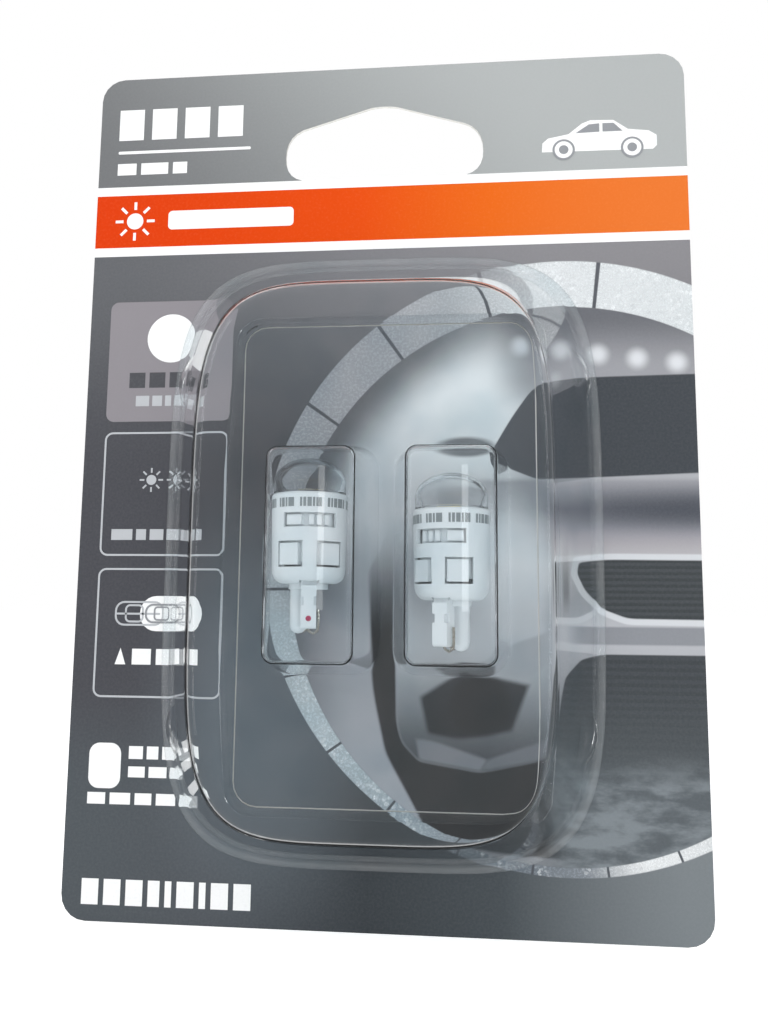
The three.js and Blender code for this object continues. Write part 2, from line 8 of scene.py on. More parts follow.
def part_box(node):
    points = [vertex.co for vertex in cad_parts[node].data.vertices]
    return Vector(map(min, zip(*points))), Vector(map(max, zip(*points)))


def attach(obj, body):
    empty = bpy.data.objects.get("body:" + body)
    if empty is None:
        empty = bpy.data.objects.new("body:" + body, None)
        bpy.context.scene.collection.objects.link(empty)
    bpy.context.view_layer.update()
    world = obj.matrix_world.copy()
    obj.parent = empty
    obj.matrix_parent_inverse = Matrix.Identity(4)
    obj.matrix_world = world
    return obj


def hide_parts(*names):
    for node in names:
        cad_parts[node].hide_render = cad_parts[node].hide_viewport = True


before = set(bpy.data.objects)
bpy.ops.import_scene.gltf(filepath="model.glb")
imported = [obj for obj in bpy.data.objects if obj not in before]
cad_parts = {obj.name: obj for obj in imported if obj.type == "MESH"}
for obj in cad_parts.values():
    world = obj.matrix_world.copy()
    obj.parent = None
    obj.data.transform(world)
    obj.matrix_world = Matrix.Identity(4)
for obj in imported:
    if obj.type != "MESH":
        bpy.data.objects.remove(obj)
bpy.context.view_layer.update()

# ---------- The frame's places that everything below is measured from ----------

MM = 0.001
card_low, card_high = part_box("backing_card")
CARD_WIDTH = (card_high.x - card_low.x) / MM
CARD_HEIGHT = (card_high.z - card_low.z) / MM
CARD_CENTRE_X = (card_low.x + card_high.x) / 2
CARD_FRONT_Y = card_low.y
CARD_THICKNESS = (card_high.y - card_low.y) / MM
CARD_BOTTOM_Z = card_low.z
door_low, door_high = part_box("rear_door")
LAMPS = ("left", "right")
INK_LIFT = 0.015
INK_THICKNESS = 0.02
INK_PITCH = INK_THICKNESS * 1.2


def on_card(across, up, forward=0.0):
    """A point by millimetres right of the card's centre line, up from its foot and out of its face."""
    return Vector((CARD_CENTRE_X + across * MM, CARD_FRONT_Y - forward * MM, CARD_BOTTOM_Z + up * MM))


# ---------- Colour ----------


def linear(value):
    return value / 12.92 if value <= 0.04045 else ((value + 0.055) / 1.055) ** 2.4


def rgb(code):
    """Linear colour with alpha from a hex code."""
    return tuple(linear(int(code[i:i + 2], 16) / 255) for i in (1, 3, 5)) + (1.0,)


def plain(value):
    """A hex code's linear colour; any other value as it is."""
    return rgb(value) if isinstance(value, str) else value


# ---------- Node-tree helper ----------

# Between these two values lies nearly all of a noise texture.
GRAIN_LOW, GRAIN_HIGH = 0.3, 0.8


class Surface:
    """A material, or the world, with short calls for the nodes that it needs."""

    def __init__(self, name, kind="Material"):
        self.owner = getattr(bpy.data, kind.lower() + "s").new(name)
        self.owner.use_nodes = True
        self.nodes = self.owner.node_tree.nodes
        self.links = self.owner.node_tree.links
        self.nodes.clear()
        self.output = self.new("Output" + kind)

    def new(self, kind):
        return self.nodes.new("ShaderNode" + kind)

    def feed(self, socket, value):
        """Link an output, or set a number, a vector or the hex code of a colour."""
        if isinstance(value, bpy.types.NodeSocket):
            self.links.new(value, socket)
        else:
            socket.default_value = plain(value)

    def math(self, operation, *values):
        node = self.new("Math")
        node.operation = operation
        for socket, value in zip(node.inputs, values):
            self.feed(socket, value)
        return node.outputs[0]

    def vector(self, operation, *values):
        node = self.new("VectorMath")
        node.operation = operation
        for socket, value in zip(node.inputs, values):
            self.feed(socket, value)
        return node.outputs["Value" if operation in ("DISTANCE", "DOT_PRODUCT", "LENGTH") else "Vector"]

    def step(self, value, low, high, to_low=0.0, to_high=1.0):
        """Smooth step of a value from low to high."""
        node = self.new("MapRange")
        node.interpolation_type = "SMOOTHSTEP"
        keys = ("Value", "From Min", "From Max", "To Min", "To Max")
        for key, item in zip(keys, (value, low, high, to_low, to_high)):
            self.feed(node.inputs[key], item)
        return node.outputs["Result"]

    def follow(self, grain, low, high):
        """A value between low and high that follows a grain."""
        return self.step(grain, GRAIN_LOW, GRAIN_HIGH, low, high)

    def mix(self, factor, first, second):
        node = self.new("Mix")
        node.data_type = "RGBA"
        self.feed(node.inputs[0], factor)
        self.feed(node.inputs[6], first)
        self.feed(node.inputs[7], second)
        return node.outputs[2]

    def place(self):
        node = self.new("TexCoord")
        return node.outputs["Object"]

    def noise(self, scale, detail=2.0, roughness=0.5, at=None):
        node = self.new("TexNoise")
        self.feed(node.inputs["Vector"], at or self.place())
        node.inputs["Scale"].default_value = scale
        node.inputs["Detail"].default_value = detail
        node.inputs["Roughness"].default_value = roughness
        return node.outputs["Fac"]

    def cells(self, scale, feature="F1", output="Distance"):
        node = self.new("TexVoronoi")
        node.feature = feature
        self.feed(node.inputs["Vector"], self.place())
        node.inputs["Scale"].default_value = scale
        return node.outputs[output]

    def ramp(self, value, stops):
        node = self.new("ValToRGB")
        self.feed(node.inputs[0], value)
        elements = node.color_ramp.elements
        while len(elements) < len(stops):
            elements.new(0.5)
        for element, (position, colour) in zip(elements, stops):
            element.position = position
            element.color = plain(colour)
        return node.outputs["Color"]

    def bump(self, height, strength, distance):
        node = self.new("Bump")
        self.feed(node.inputs["Height"], height)
        node.inputs["Strength"].default_value = strength
        node.inputs["Distance"].default_value = distance
        return node.outputs["Normal"]

    def principled(self, **values):
        node = self.new("BsdfPrincipled")
        for key, value in values.items():
            self.feed(node.inputs[key.replace("_", " ")], value)
        return node.outputs["BSDF"]

    def finish(self, shader):
        self.links.new(shader, self.output.inputs["Surface"])
        return self.owner


# ---------- Materials ----------

CORE_WHITE = "#e4e3df"


def card_place(surface):
    """Millimetres right of the card's centre line, and up from its foot, as sockets."""
    node = surface.new("SeparateXYZ")
    surface.feed(node.inputs[0], surface.place())
    across = surface.math("MULTIPLY_ADD", node.outputs["X"], 1 / MM, -CARD_CENTRE_X / MM)
    up = surface.math("MULTIPLY_ADD", node.outputs["Z"], 1 / MM, -CARD_BOTTOM_Z / MM)
    depth = surface.math("MULTIPLY_ADD", node.outputs["Y"], 1 / MM, -CARD_FRONT_Y / MM)
    joined = surface.new("CombineXYZ")
    surface.feed(joined.inputs[0], across)
    surface.feed(joined.inputs[1], up)
    return across, up, depth, joined.outputs[0]


# How softly two edges of a printed shape meet, in millimetres.
CORNER_BLEND = 0.6


class Print:
    """Layers of printed colour, in card millimetres. A mask is 1 inside its shape and 0 outside."""

    def __init__(self, surface):
        self.s = surface
        self.across, self.up, self.depth, self.point = card_place(surface)
        self.colour = None

    def lay(self, mask, colour, strength=1.0):
        factor = mask if strength == 1.0 else self.s.math("MULTIPLY", mask, strength)
        self.colour = self.s.mix(factor, self.colour, colour)

    def distance(self, across, up):
        return self.s.vector("DISTANCE", self.point, (across, up, 0))

    def inside(self, distance, soft=0.12):
        return self.s.step(distance, -soft, soft, 1.0, 0.0)

    def spot(self, across, up, core, edge):
        """Soft round spot: full inside core, gone at edge."""
        return self.s.step(self.distance(across, up), core, edge, 1.0, 0.0)

    def disc(self, across, up, radius, soft=0.12):
        return self.inside(self.s.math("SUBTRACT", self.distance(across, up), radius), soft)

    def oval(self, across, up, half_width, half_height, soft=0.04):
        """Ellipse mask; soft is a share of its size."""
        shifted = self.s.vector("SUBTRACT", self.point, (across, up, 0))
        scaled = self.s.vector("MULTIPLY", shifted, (1 / half_width, 1 / half_height, 0))
        return self.s.step(self.s.vector("LENGTH", scaled), 1 - soft, 1 + soft, 1.0, 0.0)

    def box(self, across, up, half_width, half_height, radius, soft=0.15):
        """Rounded rectangle mask."""
        shifted = self.s.vector("ABSOLUTE", self.s.vector("SUBTRACT", self.point, (across, up, 0)))
        corner = (half_width - radius, half_height - radius, 0)
        over = self.s.vector("MAXIMUM", self.s.vector("SUBTRACT", shifted, corner), (0, 0, 0))
        return self.inside(self.s.math("SUBTRACT", self.s.vector("LENGTH", over), radius), soft)

    def beyond(self, start, end):
        """Distance to the left of the line from start to end, in millimetres."""
        run = Vector(end) - Vector(start)
        normal = Vector((-run.y, run.x)).normalized()
        dot = self.s.vector("DOT_PRODUCT", self.point, (normal.x, normal.y, 0))
        return self.s.math("SUBTRACT", dot, normal.dot(Vector(start)))

    def convex(self, corners, soft=0.15, inset=0.0):
        """Mask of a convex shape, its corners given counter-clockwise, or of the shape inside its rim."""
        farthest = None
        for start, end in zip(corners, corners[1:] + corners[:1]):
            outside = self.s.math("MULTIPLY", self.beyond(start, end), -1)
            if farthest is None:
                farthest = outside
            else:
                farthest = self.s.math("SMOOTH_MAX", farthest, outside, CORNER_BLEND)
        if inset:
            farthest = self.s.math("ADD", farthest, inset)
        return self.inside(farthest, soft)

    def overlap(self, *masks):
        product = masks[0]
        for mask in masks[1:]:
            product = self.s.math("MULTIPLY", product, mask)
        return product

    def without(self, mask, hole):
        return self.s.math("MULTIPLY", mask, self.s.math("SUBTRACT", 1.0, hole))


BAND_LOW, BAND_HIGH, BAND_LINE = 104.9, 113.9, 1.5
# The ring's two circles don't share a middle: right of the centre line, up from the foot, radius.
RING_OUTER = (27.8, 54.6, 45.9)
RING_INNER = (27.8, 51.6, 41.5)
# Its segments fan out from a point below the inner circle's middle, and are shorter towards the foot.
SEGMENT_DROP = 1.6
SEGMENT_COUNT, SEGMENT_GROWTH, SEGMENT_PHASE = 13.2, 7.2, 2.945


def print_field(art):
    """Grey ground of the card: light at the top right, dark down the left side and along the foot."""
    s = art.s
    upper = s.mix(s.step(art.across, -48, 22), "#5c5e62", "#828185")
    art.colour = s.mix(s.step(art.up, 66, 103), "#43444a", upper)
    foot = s.ramp(s.step(art.across, -60, 60), [
        (0.0, "#4a5156"), (0.2, "#4b5056"), (0.48, "#33393e"), (0.72, "#42494e"),
        (0.95, "#767d81"),
    ])
    art.lay(s.step(art.up, 36, 18), foot)
    art.lay(art.oval(-17, 33, 13, 22, 0.7), "#6d7880", 0.6)
    # lighter strip above the orange band
    top = s.step(art.up, BAND_HIGH, BAND_HIGH + 0.2)
    sweep = s.math("MULTIPLY_ADD", art.up, 0.8, art.across)
    art.lay(top, s.mix(s.step(sweep, 44, 132), "#6c6e70", "#a8acac"))


def print_ring(art):
    """Foil ring: a crescent of segments. Returns the masks of its foil and of all that is inside it."""
    s = art.s
    outer = art.disc(*RING_OUTER)
    inner = art.disc(*RING_INNER)
    crescent = art.without(outer, inner)
    offset = s.vector("SUBTRACT", art.point, (RING_INNER[0], RING_INNER[1] - SEGMENT_DROP, 0))
    split = s.new("SeparateXYZ")
    s.feed(split.inputs[0], offset)
    turn = s.math("DIVIDE", s.math("ARCTAN2", split.outputs["Y"], split.outputs["X"]), 2 * math.pi)
    share = s.math("FRACT", s.math("ADD", turn, 1.0))
    growth = s.math("MULTIPLY", s.math("POWER", share, 2), SEGMENT_GROWTH)
    count = s.math("MULTIPLY_ADD", share, SEGMENT_COUNT, growth)
    phase = s.math("FRACT", s.math("SUBTRACT", count, SEGMENT_PHASE))
    joint = s.step(s.math("ABSOLUTE", s.math("SUBTRACT", phase, 0.5)), 0.012, 0.022)
    below_band = s.step(art.up, BAND_LOW - 1.7, BAND_LOW - 1.8)
    ring = art.overlap(crescent, joint, below_band)
    # painted reflection: the foil's lighter and darker stretches round the ring stand in for the window and
    # room mirrored in it
    tone = s.ramp(share, [
        (0.0, "#a9b0b4"), (0.12, "#b9c0c4"), (0.17, "#d7dddf"), (0.26, "#dee2e4"),
        (0.31, "#b4b6ba"), (0.36, "#aaabb0"), (0.46, "#a9abb0"), (0.52, "#bcc5ca"),
        (0.58, "#cdd8dd"), (0.65, "#a9b4bb"), (0.71, "#6d7780"), (0.76, "#8b9299"),
        (0.79, "#eef1f2"), (0.93, "#c8ced1"),
    ])
    # painted glints: near-white flakes, and darker specks among them, stand in for light sparkling off the
    # foil
    flakes = s.step(s.cells(2300, output="Color"), 0.55, 0.95)
    drift = s.step(s.noise(160, 2), 0.45, 0.6)
    lively = s.math("MAXIMUM", s.step(share, 0.30, 0.26), s.step(share, 0.50, 0.56))
    painted_glints = art.overlap(flakes, drift, lively)
    foil = s.mix(s.math("MULTIPLY", painted_glints, 0.75), tone, "#f4f8fa")
    sparkle_shade = s.math("MULTIPLY", s.step(s.noise(1100, 3, 0.7), 0.5, 0.8), s.math("MULTIPLY", lively, 0.3))
    foil = s.mix(sparkle_shade, foil, "#6d757c")
    art.lay(art.overlap(crescent, below_band), "#4c5057", 0.9)
    art.lay(ring, foil)
    return ring, inner


WINDSCREEN = ((17.4, 68.7), (24.1, 66.0), (34.0, 66.4), (49.0, 67.0), (49.0, 82.2), (30.9, 81.9),
              (25.2, 81.2), (23.1, 80.0), (20.3, 76.3), (17.0, 70.6))
GRILLE = ((28.2, 51.9), (29.6, 48.8), (32.5, 46.0), (36.5, 44.5), (49.0, 44.4), (49.0, 54.9), (32.7, 55.0),
          (28.7, 54.4))
INTAKE = ((24.5, 18.8), (49.0, 14.0), (49.0, 40.2), (32.4, 40.2), (29.5, 39.4), (27.2, 36.8), (26.0, 31.8),
          (25.2, 24.0))
ARCH_OUTSIDE = ((-2.0, 52.0), (-1.5, 41.9), (-0.9, 34.5), (1.2, 25.0), (3.9, 20.3), (8.0, 13.0), (28.0, 11.0),
                (28.0, 60.0), (2.0, 60.0))
ARCH_INSIDE = ((2.4, 56.0), (2.5, 37.0), (2.7, 29.8), (3.6, 26.9), (6.1, 24.4), (15.0, 23.0), (27.0, 25.5),
               (27.0, 66.0), (6.0, 62.0))
LAMP_WELL = ((6.2, 33.6), (7.4, 28.4), (12.0, 27.6), (19.6, 29.0), (22.2, 35.6), (12.4, 37.6))


def print_vehicle(art, inner):
    """Soft abstract picture of a plain car front inside the ring."""
    s = art.s
    ground = art.colour
    rim = art.distance(RING_INNER[0], RING_INNER[1])
    art.colour = s.mix(s.step(rim, 41.5, 27), "#4b4d54", "#a5a7ac")
    # glare of the sky above the windscreen, and the running lights
    art.lay(art.spot(11, 78.5, 4, 19), "#f6f9fa")
    art.lay(art.oval(12, 72.5, 13, 6, 0.6), "#f0f3f4", 0.85)
    sky = art.overlap(s.step(art.across, 16, 24), s.step(art.up, 76, 82))
    art.lay(sky, s.mix(s.step(art.up, 92, 83), "#66686e", "#97989d"), 0.9)
    for i in range(5):
        art.lay(art.spot(21.5 + 5.85 * i, 86.9 - 0.72 * i, 0.3, 2.3), "#dfe2e6", 0.8)
    # windscreen and the mirror beside it
    art.lay(art.convex(WINDSCREEN), s.mix(s.step(art.across, 16, 34), "#4d5158", "#3b4046"))
    art.lay(art.oval(13.0, 71.2, 4.4, 1.5, 0.25), "#565b62", 0.85)
    # bonnet in soft bands
    bonnet = art.overlap(s.step(art.up, 66.6, 65.6), s.step(art.across, 8, 22))
    bands = s.ramp(s.step(art.up, 40, 68), [
        (0.0, "#7b7f84"), (0.1, "#86898f"), (0.3, "#a4a6aa"), (0.5, "#b3b3b6"),
        (0.62, "#a3a0a5"), (0.76, "#868890"), (0.87, "#6b6e77"), (0.95, "#85878e"),
        (1.0, "#98999e"),
    ])
    art.lay(bonnet, bands)
    art.lay(art.overlap(art.oval(50, 61.6, 24, 2.6, 0.8), s.step(art.across, 24, 36)), "#41454e", 0.85)
    # wing
    wing = art.overlap(s.step(art.across, 22, 10), s.step(art.up, 68, 58))
    art.lay(wing, s.mix(s.step(art.across, -17, -3), "#55585f", "#a9abb1"))
    art.lay(art.oval(-1, 65, 9, 11, 0.6), "#e3e6e9", 0.85)
    art.lay(art.oval(18, 52, 8, 11, 0.5), "#eceef0", 0.9)
    # shade along the ring's inner edge
    rim_shade = art.overlap(s.step(rim, 32.5, 41), s.step(art.across, 24, 6), s.step(art.up, 52, 66))
    art.lay(rim_shade, "#4b4d54", 0.85)
    # wheel arch
    arch = art.without(art.convex(ARCH_OUTSIDE, 0.3), art.convex(ARCH_INSIDE, 0.3))
    art.lay(art.overlap(arch, s.step(art.up, 60, 42)), "#14171b", 0.98)
    inside = art.overlap(art.convex(ARCH_INSIDE, 0.3), s.step(art.up, 56, 42))
    art.lay(inside, s.mix(s.step(art.up, 23, 44), "#3e4248", "#c3c6ca"))
    art.lay(art.convex(LAMP_WELL, 0.5), s.mix(s.step(art.up, 27, 38), "#1f2328", "#30343a"))
    art.lay(art.spot(15.0, 32.6, 3.8, 5.2), "#16191d", 0.7)
    facets = (
        ((5.6, 27.6), (6.1, 24.6), (15.0, 23.2), (16.0, 24.8), (8.0, 27.4)),
        ((16.0, 24.8), (15.0, 23.2), (27.0, 25.6), (26.6, 28.4), (22.0, 27.0)),
        ((14.6, 37.6), (21.8, 36.4), (27.0, 40.0), (27.0, 44.0), (20.0, 41.6)),
    )
    for facet, tone in zip(facets, ("#85878d", "#74777d", "#a9abb0")):
        art.lay(art.convex(facet, 0.35), tone, 0.9)
    # bumper between the arch and the openings
    bumper = art.overlap(s.step(art.across, 23.5, 26.5), s.step(art.up, 52, 44), s.step(art.up, 17, 30))
    art.lay(bumper, s.mix(s.step(art.up, 22, 44), "#5b5f65", "#b0b2b7"))
    crossbar = art.overlap(s.step(art.across, 27, 30), s.step(art.up, 41.4, 41.8), s.step(art.up, 44.4, 44.0))
    art.lay(crossbar, "#888b91")
    # air intake, with fine bars
    bars_below = s.step(s.math("FRACT", s.math("MULTIPLY", art.up, 0.9)), 0.4, 0.6)
    dark_bars = s.mix(bars_below, "#3a3f43", "#40454a")
    art.lay(art.convex(INTAKE), s.mix(s.step(art.up, 20, 40), "#4c5256", dark_bars))
    # grille with a bright rim
    art.lay(art.convex(GRILLE), "#cbced2")
    slats = s.step(s.math("FRACT", s.math("MULTIPLY", art.up, 1.1)), 0.35, 0.65)
    art.lay(art.convex(GRILLE, inset=0.9), s.mix(slats, "#383d40", "#43484c"))
    # wet road
    road = art.overlap(s.step(art.across, 23, 28), s.step(art.up, 27, 20))
    streaks = s.noise(300, 4, 0.6, at=s.vector("MULTIPLY", s.place(), (0.35, 1, 1)))
    art.lay(road, s.mix(s.step(streaks, 0.4, 0.62), "#565d62", "#7b8388"))
    art.colour = s.mix(inner, ground, art.colour)


def printed_card():
    """Printed board: varnished art on the front, white core on the edges, plain pale board behind."""
    s = Surface("printed_board")
    art = Print(s)
    print_field(art)
    ring, inner = print_ring(art)
    print_vehicle(art, inner)
    fibre = s.noise(2600, 4, 0.65)
    speck = s.noise(420, 5, 0.7)
    art.lay(s.step(speck, 0.72, 0.8), "#d9dadb", 0.08)
    front = s.mix(s.step(fibre, 0.3, 0.75, 0.0, 0.02), art.colour, "#ffffff")
    pulp = s.mix(s.step(fibre, 0.35, 0.7), CORE_WHITE, "#d3d2cc")
    back = s.mix(s.step(s.noise(160, 3), 0.35, 0.75, 0.0, 0.35), pulp, "#c9c8c3")
    on_front = s.step(art.depth, CARD_THICKNESS * 0.2, CARD_THICKNESS * 0.1)
    colour = s.mix(on_front, back, front)
    foil = s.math("MULTIPLY", ring, on_front)
    varnish = s.follow(fibre, 0.34, 0.46)
    rough = s.math("ADD", varnish, s.math("MULTIPLY", s.math("SUBTRACT", 1.0, on_front), 0.4))
    height = s.math("ADD", fibre, s.math("MULTIPLY", foil, s.cells(5200)))
    return s.finish(s.principled(
        Base_Color=colour,
        Roughness=s.math("SUBTRACT", rough, s.math("MULTIPLY", foil, 0.12)),
        Metallic=s.math("MULTIPLY", foil, 0.2),
        Normal=s.bump(height, 0.07, 0.00003),
        Specular_IOR_Level=0.35,
    ))


def ink(name, code, wear="#9a9da0", roughness=0.38):
    """Printing ink with fine board grain showing through."""
    s = Surface(name)
    grain = s.noise(2400, 4, 0.6)
    colour = s.mix(s.step(grain, 0.45, 0.85, 0.0, 0.12), code, wear)
    return s.finish(s.principled(
        Base_Color=colour,
        Roughness=s.follow(grain, roughness - 0.05, roughness + 0.08),
        Normal=s.bump(grain, 0.08, 0.00003),
    ))


def band_ink():
    """Orange band that lightens towards the right."""
    s = Surface("band_ink")
    art = Print(s)
    grain = s.noise(2400, 4, 0.6)
    orange = s.ramp(s.step(art.across, -50, 50), [
        (0.0, "#d43a00"), (0.45, "#dc4a02"), (0.75, "#e0640f"), (1.0, "#df722a"),
    ])
    colour = s.mix(s.step(grain, 0.45, 0.9, 0.0, 0.08), orange, "#ffb98c")
    return s.finish(s.principled(
        Base_Color=colour,
        Roughness=s.follow(grain, 0.3, 0.42),
        Specular_IOR_Level=0.15,
        Normal=s.bump(grain, 0.08, 0.00003),
    ))


# The dome's sealed foot ends at this distance in front of the card.
SEAL_DEPTH = (-0.56, -0.5)


def clear_plastic(name, tint, shade, roughness=0.0, seal=0.0, ior=1.34):
    """Clear moulded sheet that casts a clear shadow; seal makes it milky where it meets the card."""
    s = Surface(name)
    clarity = 1.0
    if seal:
        depth = card_place(s)[2]
        clarity = s.step(depth, *SEAL_DEPTH, 1.0, 1.0 - seal)
    flow = s.noise(140, 2, 0.4)
    glass = s.principled(
        Base_Color=s.mix(s.step(flow, 0.35, 0.75), "#ffffff", tint),
        Roughness=s.step(s.noise(2600, 3, 0.6), 0.62, 0.8, roughness, roughness + 0.03),
        Transmission_Weight=clarity,
        IOR=ior,
    )
    through = s.new("BsdfTransparent")
    s.feed(through.inputs["Color"], shade)
    path = s.new("LightPath")
    shader = glass
    for ray in ("Is Shadow Ray", "Is Diffuse Ray"):
        choice = s.new("MixShader")
        s.links.new(path.outputs[ray], choice.inputs[0])
        s.links.new(shader, choice.inputs[1])
        s.links.new(through.outputs[0], choice.inputs[2])
        shader = choice.outputs[0]
    return s.finish(shader)


def moulded(name, code, shade, roughness, subsurface=0.0):
    """Moulded plastic with faint flow marks and a fine skin texture."""
    s = Surface(name)
    flow = s.noise(150, 3)
    texture = s.noise(2700, 4, 0.6)
    colour = s.mix(s.step(flow, 0.35, 0.8, 0.0, 0.5), code, shade)
    return s.finish(s.principled(
        Base_Color=colour,
        Roughness=s.follow(texture, roughness - 0.06, roughness + 0.1),
        Normal=s.bump(texture, 0.1, 0.00002),
        Subsurface_Weight=subsurface,
        Subsurface_Radius=(0.001, 0.001, 0.001),
        Subsurface_Scale=0.5,
    ))


def metal(name, code, shade, roughness, turned=False):
    """Bare metal with turning or drawing marks."""
    s = Surface(name)
    place = s.place()
    if turned:
        place = s.vector("MULTIPLY", place, (1, 1, 60))
    marks = s.noise(1500, 4, 0.6, at=place)
    return s.finish(s.principled(
        Base_Color=s.mix(s.step(marks, 0.3, 0.8), code, shade),
        Metallic=1.0,
        Roughness=s.follow(marks, roughness - 0.07, roughness + 0.12),
        Normal=s.bump(marks, 0.15, 0.00002),
    ))


def board(name, code, track):
    """Circuit board with solder mask over faint copper tracks."""
    s = Surface(name)
    lines = s.step(s.cells(900, "DISTANCE_TO_EDGE"), 0.05, 0.09)
    grain = s.noise(3000, 3)
    return s.finish(s.principled(
        Base_Color=s.mix(lines, track, code),
        Roughness=s.follow(grain, 0.3, 0.45),
        Normal=s.bump(lines, 0.15, 0.00003),
        Coat_Weight=0.3,
        Coat_Roughness=0.15,
    ))


MATERIALS = {
    "card": printed_card(),
    "band": band_ink(),
    "white_ink": ink("white_ink", "#f4f5f5"),
    "pale_ink": ink("pale_ink", "#b9bcc0"),
    "panel_ink": ink("panel_ink", "#8b878c"),
    "dark_ink": ink("dark_ink", "#4a4b50"),
    "grey_ink": ink("grey_ink", "#8f9296"),
    "mark_ink": ink("mark_ink", "#8c9396"),
    "red_ink": ink("red_ink", "#b4325a", "#d27a92"),
    "film": clear_plastic("blister_film", "#f4f8f9", "#f5f7f8", seal=0.05),
    "insert": clear_plastic("insert_film", "#f2f6f8", "#f3f5f6"),
    "lens": clear_plastic("lens_plastic", "#eef2f4", "#f0f2f3", 0.03, ior=1.25),
    "white": moulded("white_plastic", "#eef2f4", "#e2e8ec", 0.36, subsurface=0.15),
    "aluminium": metal("turned_aluminium", "#c3c5c8", "#9da0a4", 0.32, turned=True),
    "led_board": board("white_solder_mask", "#f0f0ea", "#dedfd8"),
    "driver_board": board("green_solder_mask", "#1d5a39", "#2f7a50"),
    "phosphor": moulded("led_phosphor", "#ecd75a", "#d9bd3a", 0.45),
    "epoxy": moulded("dark_epoxy", "#1e1f22", "#2c2d31", 0.5),
    "wire": metal("tinned_wire", "#d3d0c8", "#aba89f", 0.24),
}

# ---------- Mesh helpers ----------


def add_object(name, mesh, material, body, slot, stands_for=()):
    obj = bpy.data.objects.new(name, mesh)
    bpy.context.scene.collection.objects.link(obj)
    mesh.materials.clear()
    mesh.materials.append(material)
    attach(obj, body)
    if stands_for:
        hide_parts(*stands_for)
    return obj


def mesh_from(bm, name):
    """Finished mesh from a bmesh, which is freed."""
    mesh = bpy.data.meshes.new(name)
    bm.to_mesh(mesh)
    bm.free()
    return mesh


def skin(bm, first, second):
    """Band of faces between two rings of equal count."""
    count = len(first)
    for i in range(count):
        j = (i + 1) % count
        bm.faces.new((first[i], first[j], second[j], second[i]))


def cap_ends(bm, first, last):
    bm.faces.new(first)
    bm.faces.new(list(reversed(last)))


def ring_of(bm, outline, forward):
    return [bm.verts.new(on_card(across, up, forward)) for across, up in outline]


def rounded(low_across, low_up, high_across, high_up, radius, steps=6):
    """Outline of a rounded rectangle in card millimetres."""
    centres = (
        (high_across - radius, high_up - radius, 0),
        (low_across + radius, high_up - radius, 90),
        (low_across + radius, low_up + radius, 180),
        (high_across - radius, low_up + radius, 270),
    )
    points = []
    for across, up, start in centres:
        for i in range(steps + 1):
            angle = math.radians(start + 90 * i / steps)
            points.append((across + radius * math.cos(angle), up + radius * math.sin(angle)))
    return points


def circle(across, up, radius, steps=32):
    turns = [2 * math.pi * i / steps for i in range(steps)]
    return [(across + radius * math.cos(turn), up + radius * math.sin(turn)) for turn in turns]


def add_prism(bm, outline, near, far, inner=None):
    """Closed flat solid between two distances out of the printed face, with an optional matching hole."""
    outer_near, outer_far = ring_of(bm, outline, near), ring_of(bm, outline, far)
    skin(bm, outer_near, outer_far)
    if inner:
        inner_near, inner_far = ring_of(bm, inner, near), ring_of(bm, inner, far)
        skin(bm, inner_far, inner_near)
        skin(bm, outer_far, inner_far)
        skin(bm, inner_near, outer_near)
    else:
        cap_ends(bm, outer_near, outer_far)


def print_marks(name, shapes, material, body="pack", level=0, behind=False):
    """One printed layer of thin flat solids on the card. A shape is an outline or (outline, hole)."""
    bm = bmesh.new()
    near = INK_LIFT + level * INK_PITCH
    if behind:
        near = -CARD_THICKNESS - near - INK_THICKNESS
    for shape in shapes:
        outline, hole = shape if isinstance(shape, tuple) else (shape, None)
        add_prism(bm, outline, near, near + INK_THICKNESS, hole)
    bmesh.ops.recalc_face_normals(bm, faces=bm.faces)
    return add_object(name, mesh_from(bm, name), MATERIALS[material], body, "printed_card")


def outlined(low_across, low_up, high_across, high_up, radius, line):
    """Frame of one line's width."""
    outer = rounded(low_across, low_up, high_across, high_up, radius)
    corner = max(radius - line, 0.1)
    inner = rounded(low_across + line, low_up + line, high_across - line, high_up - line, corner)
    return outer, inner


def bars(left, low, height, widths, gap):
    """Row of plain bars that stands in for a line of words."""
    row = []
    for width in widths:
        row.append([(left, low), (left + width, low), (left + width, low + height), (left, low + height)])
        left += width + gap
    return row


# Faces that meet at more than this many degrees keep their edge between them.
EDGE_ANGLE = math.radians(32)
FLAT_ANGLE = math.radians(1.0)
MERGE_DISTANCE = 1e-7


def refined(node, material, slot, body, bevel):
    """Copy of a node's mesh with softened edges and smooth curved faces; it stands for the node."""
    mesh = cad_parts[node].data.copy()
    mesh.name = node + "_fine"
    bm = bmesh.new()
    bm.from_mesh(mesh)
    bmesh.ops.remove_doubles(bm, verts=bm.verts, dist=MERGE_DISTANCE)
    bmesh.ops.dissolve_limit(bm, angle_limit=FLAT_ANGLE, verts=bm.verts, edges=bm.edges)
    bm.to_mesh(mesh)
    bm.free()
    obj = add_object(node + "_fine", mesh, material, body, slot, (node,))
    if bevel:
        soften = obj.modifiers.new("soften", "BEVEL")
        soften.width = bevel * MM
        soften.segments = 2
        soften.limit_method = "ANGLE"
        soften.angle_limit = EDGE_ANGLE
    for polygon in mesh.polygons:
        polygon.use_smooth = True
    mesh.set_sharp_from_angle(angle=EDGE_ANGLE)
    return obj


# ---------- Clear film shells ----------

ROUND_STEPS = 384


def bowed(half_width, half_height, centre_up, squareness):
    """Outline with bowed sides and soft corners, in card millimetres."""
    points = []
    for i in range(ROUND_STEPS):
        angle = 2 * math.pi * i / ROUND_STEPS
        across, up = math.cos(angle), math.sin(angle)
        points.append((
            math.copysign(abs(across) ** (2 / squareness), across) * half_width,
            centre_up + math.copysign(abs(up) ** (2 / squareness), up) * half_height,
        ))
    return points


